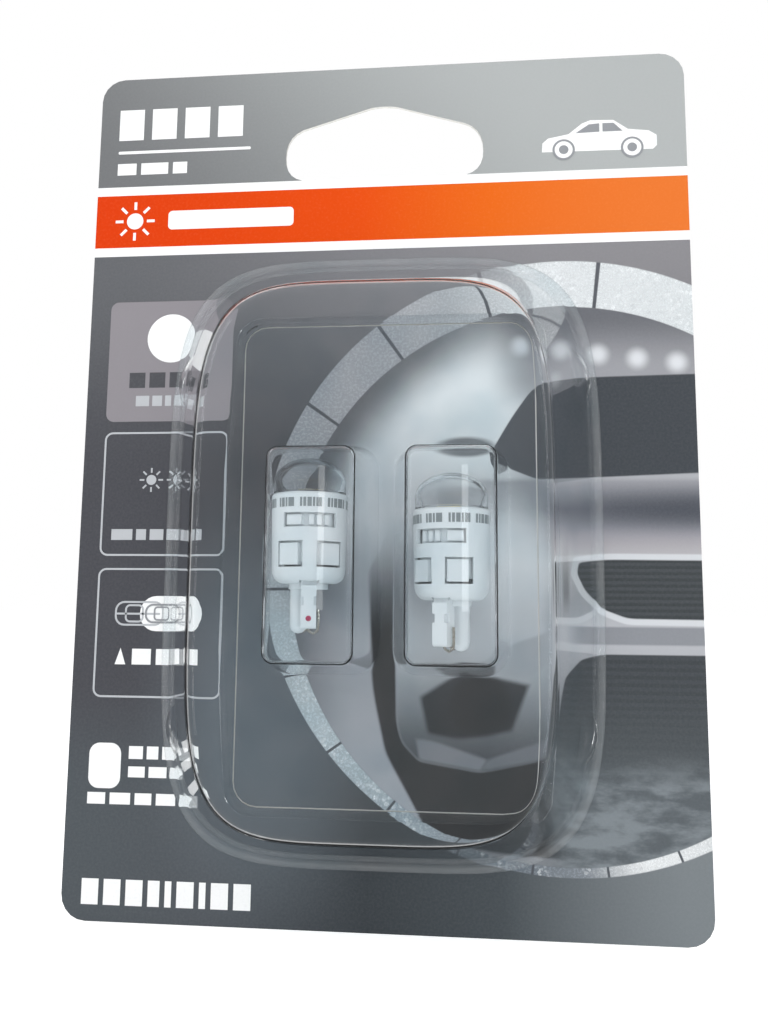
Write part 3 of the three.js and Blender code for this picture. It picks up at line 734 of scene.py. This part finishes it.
def ring_edges(bm, ring):
    """Edges round a ring, made where they are missing."""
    edges = []
    for first, second in zip(ring, ring[1:] + ring[:1]):
        edge = bm.edges.get((first, second))
        edges.append(edge or bm.edges.new((first, second)))
    return edges


def film_piece(name, bm, thickness, material, node):
    """Turn an open sheet into a thin closed shell whose outside is the sheet."""
    bmesh.ops.recalc_face_normals(bm, faces=bm.faces)
    front = min(bm.faces, key=lambda face: face.calc_center_median().y)
    if front.normal.y > 0:
        bmesh.ops.reverse_faces(bm, faces=bm.faces)
    mesh = mesh_from(bm, name)
    obj = add_object(name, mesh, material, "pack", "blister_plastic", (node,))
    for polygon in mesh.polygons:
        polygon.use_smooth = True
    wall = obj.modifiers.new("wall", "SOLIDIFY")
    wall.thickness = thickness * MM
    wall.offset = -1
    wall.use_even_offset = True
    return obj


def arc(from_degrees, to_degrees, steps):
    return [math.radians(from_degrees + (to_degrees - from_degrees) * i / steps) for i in range(steps + 1)]


def span_of(node):
    """A node's middle and half size on the card, and how far it stands forward, in millimetres."""
    low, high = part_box(node)
    middle = ((low.x + high.x) / 2 - CARD_CENTRE_X) / MM, ((low.z + high.z) / 2 - CARD_BOTTOM_Z) / MM
    half = (high.x - low.x) / 2 / MM, (high.z - low.z) / 2 / MM
    return middle, half, (CARD_FRONT_Y - low.y) / MM


DOME_WALL, DOME_FLANGE, DOME_SQUARENESS = 0.4, 1.2, 4.6
DOME_DRAFT, DOME_CROWN, DOME_DROP = 7.6, 2.4, 1.2
# The foot's curve and the start of the wall above it, as growth from the foot outline and rise from the seat.
DOME_FOOT = ((DOME_FLANGE, 0.0), (0.7, 0.0), (0.45, 0.02), (0.2, 0.12), (0.0, 0.32), (-0.14, 0.55))
WALL_INSET, WALL_RISE, WALL_STEPS = 0.16, 0.6, 18
CROWN_START, CROWN_STEPS, CROWN_LIP = 30, 9, 0.5
LUG_RISE, LUG_LENGTH, LUG_HEIGHT, LUG_REACH, LUG_BULGE = 26.5, 3.6, 3.2, 2.6, 1.0
SEAT = 0.5


def dome_profile(front):
    """Steps up the dome as (growth from the foot outline, height)."""
    crown_base = front - DOME_CROWN
    lean = DOME_DRAFT + DOME_CROWN * math.cos(math.radians(CROWN_START))
    shoulder = crown_base + DOME_CROWN * math.sin(math.radians(CROWN_START))
    steps = [(growth, SEAT + rise) for growth, rise in DOME_FOOT]
    for i in range(1, WALL_STEPS + 1):
        share = i / WALL_STEPS
        height = SEAT + WALL_RISE + (shoulder - SEAT - WALL_RISE) * share
        steps.append((-WALL_INSET - (DOME_DRAFT - WALL_INSET) * share, height))
    for angle in arc(CROWN_START + 6, 90, CROWN_STEPS):
        steps.append((DOME_CROWN * math.cos(angle) - lean, crown_base + DOME_CROWN * math.sin(angle)))
    steps.append((-lean - CROWN_LIP, front))
    return steps


def lug(up, centre_up, height):
    """How far the side wall bulges outward for the ridges that keep stacked domes apart."""
    along = min(abs(up - centre_up - LUG_RISE), abs(up - centre_up + LUG_RISE)) / LUG_LENGTH
    rise = abs(height - LUG_HEIGHT) / LUG_REACH
    if along >= 1 or rise >= 1:
        return 0.0
    return LUG_BULGE * math.cos(along * math.pi / 2) * math.cos(rise * math.pi / 2)


def blister_shell():
    (middle, centre_up), (half_width, half_height), front = span_of("blister_dome")
    bm = bmesh.new()
    last = None
    for growth, height in dome_profile(front):
        drop = DOME_DROP * height / front
        grown = growth - DOME_FLANGE
        outline = [
            (middle + x + math.copysign(lug(up, centre_up - drop, height), x), up)
            for x, up in bowed(half_width + grown, half_height + grown, centre_up - drop, DOME_SQUARENESS)
        ]
        ring = ring_of(bm, outline, height)
        if last:
            skin(bm, last, ring)
        last = ring
    bm.faces.new(last)
    return film_piece("blister_shell", bm, DOME_WALL, MATERIALS["film"], "blister_dome")


POCKET_HALF_WIDTH, POCKET_HALF_HEIGHT = 6.25, 14.9
POCKET_DRAFT, POCKET_CROWN, POCKET_CORNER = 2.4, 1.5, 1.7
POCKET_PLACES = (-8.4, 10.8)
# The curve into the pocket's wall, as growth from the wall's foot and rise from the brim.
POCKET_FOOT = ((0.5, 0.0), (0.2, 0.06), (0.0, 0.28))
POCKET_RISE, POCKET_STEPS, POCKET_LIP = 0.3, 12, 0.3
INSERT_WALL, INSERT_GAP, INSERT_CORNER, INSERT_STEP = 0.35, 0.1, 4.2, 0.5
INSERT_BOW, BOW_STEPS, CORNER_STEPS = 1.6, 24, 14
# The brim's step, as inset from its edge and rise from its seat.
BRIM_STEPS = (
    (0, 0), (0.6, 0), (0.75, 0.05), (1.1, INSERT_STEP - 0.05), (1.25, INSERT_STEP), (1.6, INSERT_STEP),
)


def centred(across, up, half_width, half_height, corner):
    """Rounded rectangle about a middle."""
    low, high = (across - half_width, up - half_height), (across + half_width, up + half_height)
    return rounded(*low, *high, corner, CORNER_STEPS)


def pocket_rings(bm, across, centre_up, foot, front):
    """Rings from a pocket's foot to its front, the last one closed."""
    crown_base = front - POCKET_CROWN
    wall_foot = foot + POCKET_RISE
    steps = [(POCKET_DRAFT + growth, foot + rise) for growth, rise in POCKET_FOOT]
    for i in range(1, POCKET_STEPS + 1):
        share = i / POCKET_STEPS
        steps.append((POCKET_DRAFT * (1 - share), wall_foot + (crown_base - wall_foot) * share))
    for angle in arc(8, 90, CROWN_STEPS):
        steps.append((POCKET_CROWN * (math.cos(angle) - 1), crown_base + POCKET_CROWN * math.sin(angle)))
    steps.append((-POCKET_CROWN - POCKET_LIP, front))
    rings = []
    for growth, height in steps:
        corner = max(POCKET_CORNER + growth, 0.25)
        outline = centred(
            across, centre_up, POCKET_HALF_WIDTH + growth, POCKET_HALF_HEIGHT + growth, corner,
        )
        ring = ring_of(bm, outline, height)
        if rings:
            skin(bm, rings[-1], ring)
        rings.append(ring)
    bm.faces.new(rings[-1])
    return rings


def brim_outline(middle, centre_up, half_width, half_height, corner):
    """Rounded rectangle whose long sides bow outward."""
    straight = half_height - corner
    points = centred(middle, centre_up, half_width, half_height, corner)
    half = len(points) // 2
    bowed_points = []
    for side, part in ((-1, points[:half]), (1, points[half:])):
        bowed_points += part
        for i in range(1, BOW_STEPS):
            rise = side * (2 * i / BOW_STEPS - 1) * straight
            bow = half_width + INSERT_BOW * (1 - (rise / straight) ** 2)
            bowed_points.append((middle + side * bow, centre_up + rise))
    return bowed_points


def insert_shell():
    (middle, centre_up), (half_width, half_height), front = span_of("bulb_insert")
    half_width -= INSERT_BOW
    seat = INSERT_GAP + INSERT_WALL
    bm = bmesh.new()
    last = None
    for inset, rise in BRIM_STEPS:
        outline = brim_outline(
            middle, centre_up, half_width - inset, half_height - inset, INSERT_CORNER - inset,
        )
        ring = ring_of(bm, outline, seat + rise)
        if last:
            skin(bm, last, ring)
        last = ring
    edges = ring_edges(bm, last)
    for across in POCKET_PLACES:
        edges += ring_edges(bm, pocket_rings(bm, across, centre_up, seat + INSERT_STEP, front)[0])
    bmesh.ops.triangle_fill(bm, use_beauty=True, edges=edges)
    return film_piece("insert_shell", bm, INSERT_WALL, MATERIALS["insert"], "bulb_insert")


# ---------- Pack ----------

SIDE = CARD_WIDTH / 2
MARGIN = -44.3


def pack_print():
    """The orange band and the white line above and below it, from side to side."""
    print_marks("band", bars(-SIDE, BAND_LOW, BAND_HIGH - BAND_LOW, (CARD_WIDTH,), 0), "band")
    lines = []
    for low in (BAND_LOW - BAND_LINE, BAND_HIGH):
        lines += bars(-SIDE, low, BAND_LINE, (CARD_WIDTH,), 0)
    print_marks("band_lines", lines, "white_ink")


# A light symbol's disc, and its rays' inner end and half width, as shares of its size.
SYMBOL_DISC, RAY_START, RAY_WIDTH, RAYS = 0.42, 0.6, 0.07, 8


def lamp_symbol(across, up, size):
    """Generic light symbol: a disc with rays."""
    shapes = [circle(across, up, size * SYMBOL_DISC)]
    for i in range(RAYS):
        angle = 2 * math.pi * i / RAYS
        along = Vector((math.cos(angle), math.sin(angle)))
        side = Vector((-along.y, along.x)) * size * RAY_WIDTH
        near, far = along * size * RAY_START, along * size
        centre = Vector((across, up))
        shapes.append([tuple(centre + p) for p in (near - side, far - side, far + side, near + side)])
    return shapes


def top_marks():
    """Plain bars and a light symbol where the card's words and names were."""
    row = bars(MARGIN, 123.6, 5.4, (4.2, 4.2, 4.2, 4.2), 1.4)
    print_marks("corner_bars", row + [rounded(MARGIN, 121.2, -21.9, 121.7, 0.2)], "white_ink")
    print_marks("corner_note", bars(MARGIN, 117.5, 2.0, (3.2, 4.6, 2.4), 0.8), "white_ink")
    band_mid = (BAND_LOW + BAND_HIGH) / 2
    pill = rounded(MARGIN + 9, band_mid - 1.6, -14.5, band_mid + 1.6, 0.7)
    print_marks("band_emblem", lamp_symbol(MARGIN + 3.4, band_mid, 3.3) + [pill], "white_ink", level=1)


# The side-view car, from the left end of its foot: body, two windows, and its wheels' places and radii.
CAR_LEFT, CAR_FOOT, CAR_LENGTH = 25.2, 118.2, 17.8
CAR_BODY = (
    (0.0, 0.4), (0.1, 1.9), (1.0, 2.7), (4.2, 3.3), (6.3, 5.0), (7.6, 5.5), (11.2, 5.4), (13.4, 3.8),
    (16.6, 3.4), (CAR_LENGTH, 2.6), (CAR_LENGTH, 0.9), (CAR_LENGTH - 0.6, 0.3),
)
CAR_WINDOWS = (
    ((5.3, 3.4), (9.0, 3.5), (9.0, 4.9), (7.4, 4.8)),
    ((9.5, 3.5), (12.6, 3.5), (11.2, 4.9), (9.5, 4.9)),
)
WHEEL_PLACES, WHEEL_UP = (3.4, 14.0), 0.7
WHEEL_ARCH, WHEEL_RIM, WHEEL_HUB = 1.75, 1.4, 0.75


def car_icon():
    """White side view of a plain saloon."""

    def placed(outline):
        return [(CAR_LEFT + across, CAR_FOOT + up) for across, up in outline]

    def wheel(across, radius):
        return circle(CAR_LEFT + across, CAR_FOOT + WHEEL_UP, radius)

    print_marks("car_body", [placed(CAR_BODY)], "white_ink")
    print_marks("car_glass", [placed(window) for window in CAR_WINDOWS], "grey_ink", level=1)
    arches = [wheel(across, WHEEL_ARCH) for across in WHEEL_PLACES]
    print_marks("car_wheel_arches", arches, "grey_ink", level=1)
    rims = [(wheel(across, WHEEL_RIM), wheel(across, WHEEL_HUB)) for across in WHEEL_PLACES]
    print_marks("car_wheels", rims, "white_ink", level=2)


PANEL_LEFT, PANEL_RIGHT = -44.2, -23.8
PANEL_ROWS = ((75.8, 95.6), (54.4, 74.1), (32.7, 52.5))


def side_panels():
    """The column of three panels down the card's left side."""
    tone, glow, fit = PANEL_ROWS
    print_marks("tone_panel", [rounded(PANEL_LEFT, tone[0], PANEL_RIGHT, tone[1], 1.3)], "panel_ink")
    print_marks("tone_spot", [circle(-33.9, 89.4, 4.0, 48)], "white_ink", level=1)
    print_marks("tone_bar", bars(-40.6, 81.3, 2.5, (2.6, 2.6, 2.6, 2.4), 0.7), "dark_ink", level=1)
    print_marks("tone_note", bars(-39.4, 78.3, 1.7, (2.2, 1.6, 1.0, 1.8, 1.6), 0.5), "pale_ink", level=1)
    frames = [outlined(PANEL_LEFT, low, PANEL_RIGHT - 0.3, high, 1.3, 0.3) for low, high in (glow, fit)]
    print_marks("panel_frames", frames, "pale_ink")
    print_marks("glow_symbols", lamp_symbol(-36.3, 66.4, 1.9) + lamp_symbol(-31.9, 66.4, 1.9), "pale_ink")
    print_marks("glow_bar", bars(-42.4, 56.9, 1.7, (3.4, 1.6, 2.2, 3.0, 1.8), 0.6), "pale_ink")
    print_marks("beam", [rounded(-37.2, 42.8, -27.4, 48.2, 2.6)], "white_ink")
    plan = [outlined(-41.2, 43.6, -33.4, 47.4, 1.5, 0.3), outlined(-39.6, 44.1, -36.6, 46.9, 0.8, 0.3)]
    plan += [rounded(-40.9, 45.3, -34.0, 45.6, 0.1)]
    print_marks("car_plan", plan, "pale_ink", level=1)
    cabin = [outlined(-36.4, 44.0, -30.4, 47.0, 1.3, 0.3), outlined(-35.0, 44.4, -32.4, 46.6, 0.6, 0.25)]
    print_marks("car_plan_lit", cabin, "grey_ink", level=2)
    pointer = [[(-40.9, 37.7), (-39.2, 37.7), (-40.05, 40.2)]]
    print_marks("fit_bar", bars(-38.2, 37.7, 2.4, (3.0, 2.4, 3.2), 0.8) + pointer, "white_ink")


def foot_marks():
    """Plain blocks for the promise and the family name at the card's foot."""
    shield = [rounded(-44.2, 19.2, -39.2, 25.9, 1.6)]
    rows = bars(-38.0, 23.6, 1.9, (2.2, 1.8, 2.4, 2.0), 0.6) + bars(-38.0, 20.9, 1.6, (2.6, 2.8, 2.2), 0.6)
    rows += bars(-44.2, 16.9, 1.7, (2.8, 3.2, 2.6, 3.0, 3.0), 0.7)
    print_marks("promise_marks", shield + rows, "white_ink")
    family = bars(-44.4, 2.4, 3.7, (2.6, 2.6, 2.6, 1.8, 1.0, 2.6, 1.0, 2.6, 2.6), 0.8)
    print_marks("family_marks", family, "white_ink")


BACK_MARGIN, BACK_ROWS, BACK_FOOT, BACK_PITCH, BACK_BAR = 6, 4, 96.5, 3.6, 1.1


def back_print():
    """Plain rows and two frames on the back."""
    left, right = -SIDE + BACK_MARGIN, SIDE - BACK_MARGIN
    rows = []
    for row in range(BACK_ROWS):
        widths = [9 + 3 * ((row * 5 + i * 3) % 4) for i in range(5)]
        rows += bars(left, BACK_FOOT + BACK_PITCH * row, BACK_BAR, widths, 1.6)
    inside = [bar for bar in rows if bar[1][0] < right]
    print_marks("back_rows", inside, "grey_ink", behind=True)
    frame_lines = [outlined(-40, 4.5, -12, 13.5, 1, 0.3), outlined(-8, 4.5, 40, 13.5, 1, 0.3)]
    print_marks("back_boxes", frame_lines, "dark_ink", behind=True)


DASH_LENGTH, DASH_PITCH, DASH_MARGIN, DASH_NEAR, DASH_FAR = 1.9, 3.2, 4, 0.4, 0.75
ARROW_NEAR, ARROW_FAR, ARROW_HALF = 1.6, 4.0, 3.2


def dash_starts(low, high):
    """Where each dash of a row starts."""
    count = int((high - low - 2 * DASH_MARGIN) / DASH_PITCH)
    return [low + DASH_MARGIN + i * DASH_PITCH for i in range(count)]


def door_tab():
    """Arrow and dashes on the door's back that show where it opens."""
    middle = ((door_low.z + door_high.z) / 2 - CARD_BOTTOM_Z) / MM
    edge = (door_high.x - CARD_CENTRE_X) / MM
    arrow = [(edge - ARROW_FAR, middle - ARROW_HALF), (edge - ARROW_NEAR, middle),
             (edge - ARROW_FAR, middle + ARROW_HALF)]
    print_marks("door_arrow", [arrow], "dark_ink", body="door", behind=True)
    crease = (door_low.x - CARD_CENTRE_X) / MM
    top = (door_high.z - CARD_BOTTOM_Z) / MM
    foot = (door_low.z - CARD_BOTTOM_Z) / MM
    dashes = []
    for start in dash_starts(foot, top):
        dashes.append(rounded(edge - DASH_FAR, start, edge - DASH_NEAR, start + DASH_LENGTH, 0.15, 2))
    for start in dash_starts(crease, edge):
        for low in (top - DASH_FAR, foot + DASH_NEAR):
            high = low + DASH_FAR - DASH_NEAR
            dashes.append(rounded(start, low, start + DASH_LENGTH, high, 0.15, 2))
    print_marks("door_dashes", dashes, "dark_ink", body="door", behind=True)


def pack_pieces():
    for node in ("backing_card", "rear_door"):
        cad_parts[node].data.materials.clear()
        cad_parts[node].data.materials.append(MATERIALS["card"])
    blister_shell()
    insert_shell()


pack_print()
top_marks()
car_icon()
side_panels()
foot_marks()
back_print()
door_tab()
pack_pieces()

# ---------- Lamps ----------

# Each piece's material, its slot and the width of its softened edges in millimetres.
LAMP_PIECES = {
    "lens": ("lens", "clear_plastic", 0.08),
    "housing": ("white", "white_plastic", 0.12),
    "wedge_base": ("white", "white_plastic", 0.12),
    "heat_spreader": ("aluminium", "aluminium", 0.08),
    "led_board": ("led_board", "white_board", 0.05),
    "led_chip": ("phosphor", "phosphor", 0.06),
    "driver_board": ("driver_board", "green_board", 0.05),
    "rectifier": ("epoxy", "dark_epoxy", 0.05),
    "driver_ic": ("epoxy", "dark_epoxy", 0.05),
    "resistor_low": ("epoxy", "dark_epoxy", 0.04),
    "resistor_high": ("epoxy", "dark_epoxy", 0.04),
    "contact_wire_front": ("wire", "plated_wire", 0),
    "contact_wire_back": ("wire", "plated_wire", 0),
}


# Ticks round the sleeve: their widths and gaps in degrees, and their place below the rim in millimetres.
TICK_WIDTHS = (3, 5, 3, 9, 3, 4, 6, 3, 8, 4, 3, 6, 9, 3)
TICK_ROUNDS, TICK_GAP, GROUP_GAP, GROUP_ENDS = 4, 1.8, 9, (3, 8, 13)
TICK_FOOT, TICK_HEAD, TICK_SUNK, TICK_PROUD = 2.1, 0.85, 0.02, 0.02
SLEEVE_DRAFT = 0.035
WING_REACH, WING_UP, DOT_RADIUS, DOT_THICKNESS, DOT_STEPS = 4.76, 2.2, 0.38, 0.02, 20


def add_tick(bm, centre_x, centre_y, section, start, width):
    """One curved tick; section is its outline as (radius, height)."""
    steps = max(2, width // 2)
    loops = []
    for i in range(steps + 1):
        angle = math.radians(start + width * i / steps)
        out = Vector((math.cos(angle), math.sin(angle), 0))
        loops.append([bm.verts.new(Vector((centre_x, centre_y, z)) + out * radius) for radius, z in section])
    for first, second in zip(loops, loops[1:]):
        skin(bm, first, second)
    cap_ends(bm, loops[0], loops[-1])


def add_lamp_print(name, bm, material, side):
    bmesh.ops.recalc_face_normals(bm, faces=bm.faces)
    add_object(name, mesh_from(bm, name), MATERIALS[material], side + "_bulb", "white_plastic")


def sleeve_marks(side):
    """Row of plain printed ticks round the housing's rim, where its rating is."""
    low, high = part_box(side + "_housing")
    centre_x, centre_y = (low.x + high.x) / 2, (low.y + high.y) / 2
    head_radius = (high.x - low.x) / 2 - TICK_SUNK * MM
    foot_radius = head_radius - SLEEVE_DRAFT * MM
    foot, head = high.z - TICK_FOOT * MM, high.z - TICK_HEAD * MM
    proud = TICK_PROUD * MM
    inner = ((foot_radius, foot), (head_radius, head))
    outer = ((head_radius + proud, head), (foot_radius + proud, foot))
    bm = bmesh.new()
    start = 0.0
    for _ in range(TICK_ROUNDS):
        for place, width in enumerate(TICK_WIDTHS):
            add_tick(bm, centre_x, centre_y, inner + outer, start, width)
            start += width + (GROUP_GAP if place in GROUP_ENDS else TICK_GAP)
    add_lamp_print(side + "_sleeve_marks", bm, "mark_ink", side)


def wing_dot(side, degrees):
    """Small printed dot on the edge of one wing, which marks its polarity."""
    base_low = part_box(side + "_wedge_base")[0]
    low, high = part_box(side + "_housing")
    axis = Vector(((low.x + high.x) / 2, (low.y + high.y) / 2, base_low.z + WING_UP * MM))
    angle = math.radians(degrees)
    out = Vector((math.cos(angle), math.sin(angle), 0))
    along = Vector((-out.y, out.x, 0))
    bm = bmesh.new()
    rings = []
    for reach in (WING_REACH, WING_REACH + DOT_THICKNESS):
        centre = axis + out * reach * MM
        ring = []
        for across, up in circle(0, 0, DOT_RADIUS, DOT_STEPS):
            ring.append(bm.verts.new(centre + along * across * MM + Vector((0, 0, up * MM))))
        rings.append(ring)
    skin(bm, *rings)
    cap_ends(bm, *rings)
    add_lamp_print(side + "_wing_dot", bm, "red_ink", side)


def lamp_pieces(side):
    for part, (material, slot, bevel) in LAMP_PIECES.items():
        refined(f"{side}_{part}", MATERIALS[material], slot, side + "_bulb", bevel)
    sleeve_marks(side)


for lamp_side in LAMPS:
    lamp_pieces(lamp_side)
wing_dot("left", -79)

# ---------- Stage, light and camera ----------

CAMERA_PLACE = on_card(11.26, 47.06, 121.38)
CAMERA_TARGET = on_card(0.57, 61.25, 0)
CAMERA_ROLL = 0.5
CAMERA_LENS = 28.19


def make_camera():
    camera = bpy.data.objects.new("camera", bpy.data.cameras.new("camera"))
    bpy.context.scene.collection.objects.link(camera)
    camera.data.sensor_width = 36
    camera.data.lens = CAMERA_LENS
    camera.data.clip_start = 0.005
    camera.data.clip_end = 20
    aim = (CAMERA_TARGET - CAMERA_PLACE).to_track_quat("-Z", "Y").to_matrix().to_4x4()
    roll = Matrix.Rotation(math.radians(CAMERA_ROLL), 4, "Z")
    camera.matrix_world = Matrix.Translation(CAMERA_PLACE) @ aim @ roll
    bpy.context.scene.camera = camera


def make_floor():
    """Pale floor under the card's foot."""
    s = Surface("floor_paper")
    tone = s.mix(s.step(s.noise(30, 3), 0.3, 0.8), "#fbfbfa", "#f6f6f5")
    material = s.finish(s.principled(
        Base_Color=tone, Roughness=0.8, Emission_Color="#ffffff", Emission_Strength=0.55,
    ))
    bpy.ops.mesh.primitive_plane_add(size=8, location=(0, 0, CARD_BOTTOM_Z - 0.05 * MM))
    floor = bpy.context.active_object
    floor.name = "floor"
    floor.visible_glossy = False
    floor.visible_transmission = False
    floor.data.materials.append(material)


def add_light(name, place, target, width, height, power, mirrored=False):
    """Panel light in metres and watts; only a mirrored one shows in glossy and clear surfaces."""
    data = bpy.data.lights.new(name, "AREA")
    data.shape = "RECTANGLE"
    data.size, data.size_y = width, height
    data.energy = power
    lamp = bpy.data.objects.new(name, data)
    bpy.context.scene.collection.objects.link(lamp)
    lamp.visible_glossy = mirrored
    lamp.visible_transmission = mirrored
    lamp.location = place
    lamp.rotation_mode = "QUATERNION"
    lamp.rotation_quaternion = (Vector(target) - Vector(place)).to_track_quat("-Z", "Y")


# The room's grey at three heights, from straight down at 0 to straight up at 1.
ROOM = ((0.3, (0.24, 0.245, 0.25, 1)), (0.55, (0.36, 0.365, 0.375, 1)), (0.9, (0.62, 0.62, 0.63, 1)))
BACKDROP = {"Is Transmission Ray": (0.5, 0.5, 0.5, 1), "Is Camera Ray": (1, 1, 1, 1)}


def make_world():
    """White backdrop to the camera, half as bright through clear film; elsewhere a soft room."""
    s = Surface("studio", "World")
    split = s.new("SeparateXYZ")
    s.feed(split.inputs[0], s.new("TexCoord").outputs["Generated"])
    colour = s.ramp(s.math("MULTIPLY_ADD", split.outputs["Z"], 0.5, 0.5), ROOM)
    path = s.new("LightPath")
    for ray, grey in BACKDROP.items():
        colour = s.mix(path.outputs[ray], colour, grey)
    background = s.new("Background")
    s.feed(background.inputs["Color"], colour)
    bpy.context.scene.world = s.finish(background.outputs[0])


STREAK_UP, STREAK_FORWARD = 140, 1000


def make_light():
    """Two soft panels that light the pack, and four narrow ones that glint in its clear film."""
    middle = on_card(0, CARD_HEIGHT / 2)
    add_light("window", on_card(215, 470, 900), middle, 0.5, 0.4, 1.1)
    add_light("overhead", on_card(-150, 900, 500), middle, 0.7, 0.5, 3.0)
    for name, across in (("streak_left", -172), ("streak_right", 26)):
        place, target = (on_card(across, STREAK_UP, forward) for forward in (STREAK_FORWARD, 0))
        add_light(name, place, target, 0.009, 0.2, 0.011, True)
    add_light("strip_right", on_card(420, 120, 260), middle, 0.03, 0.5, 0.25, True)
    add_light("strip_left", on_card(-380, 160, 300), middle, 0.04, 0.5, 0.25, True)


make_world()
make_camera()
make_floor()
make_light()
bpy.context.scene.view_settings.view_transform = "Standard"
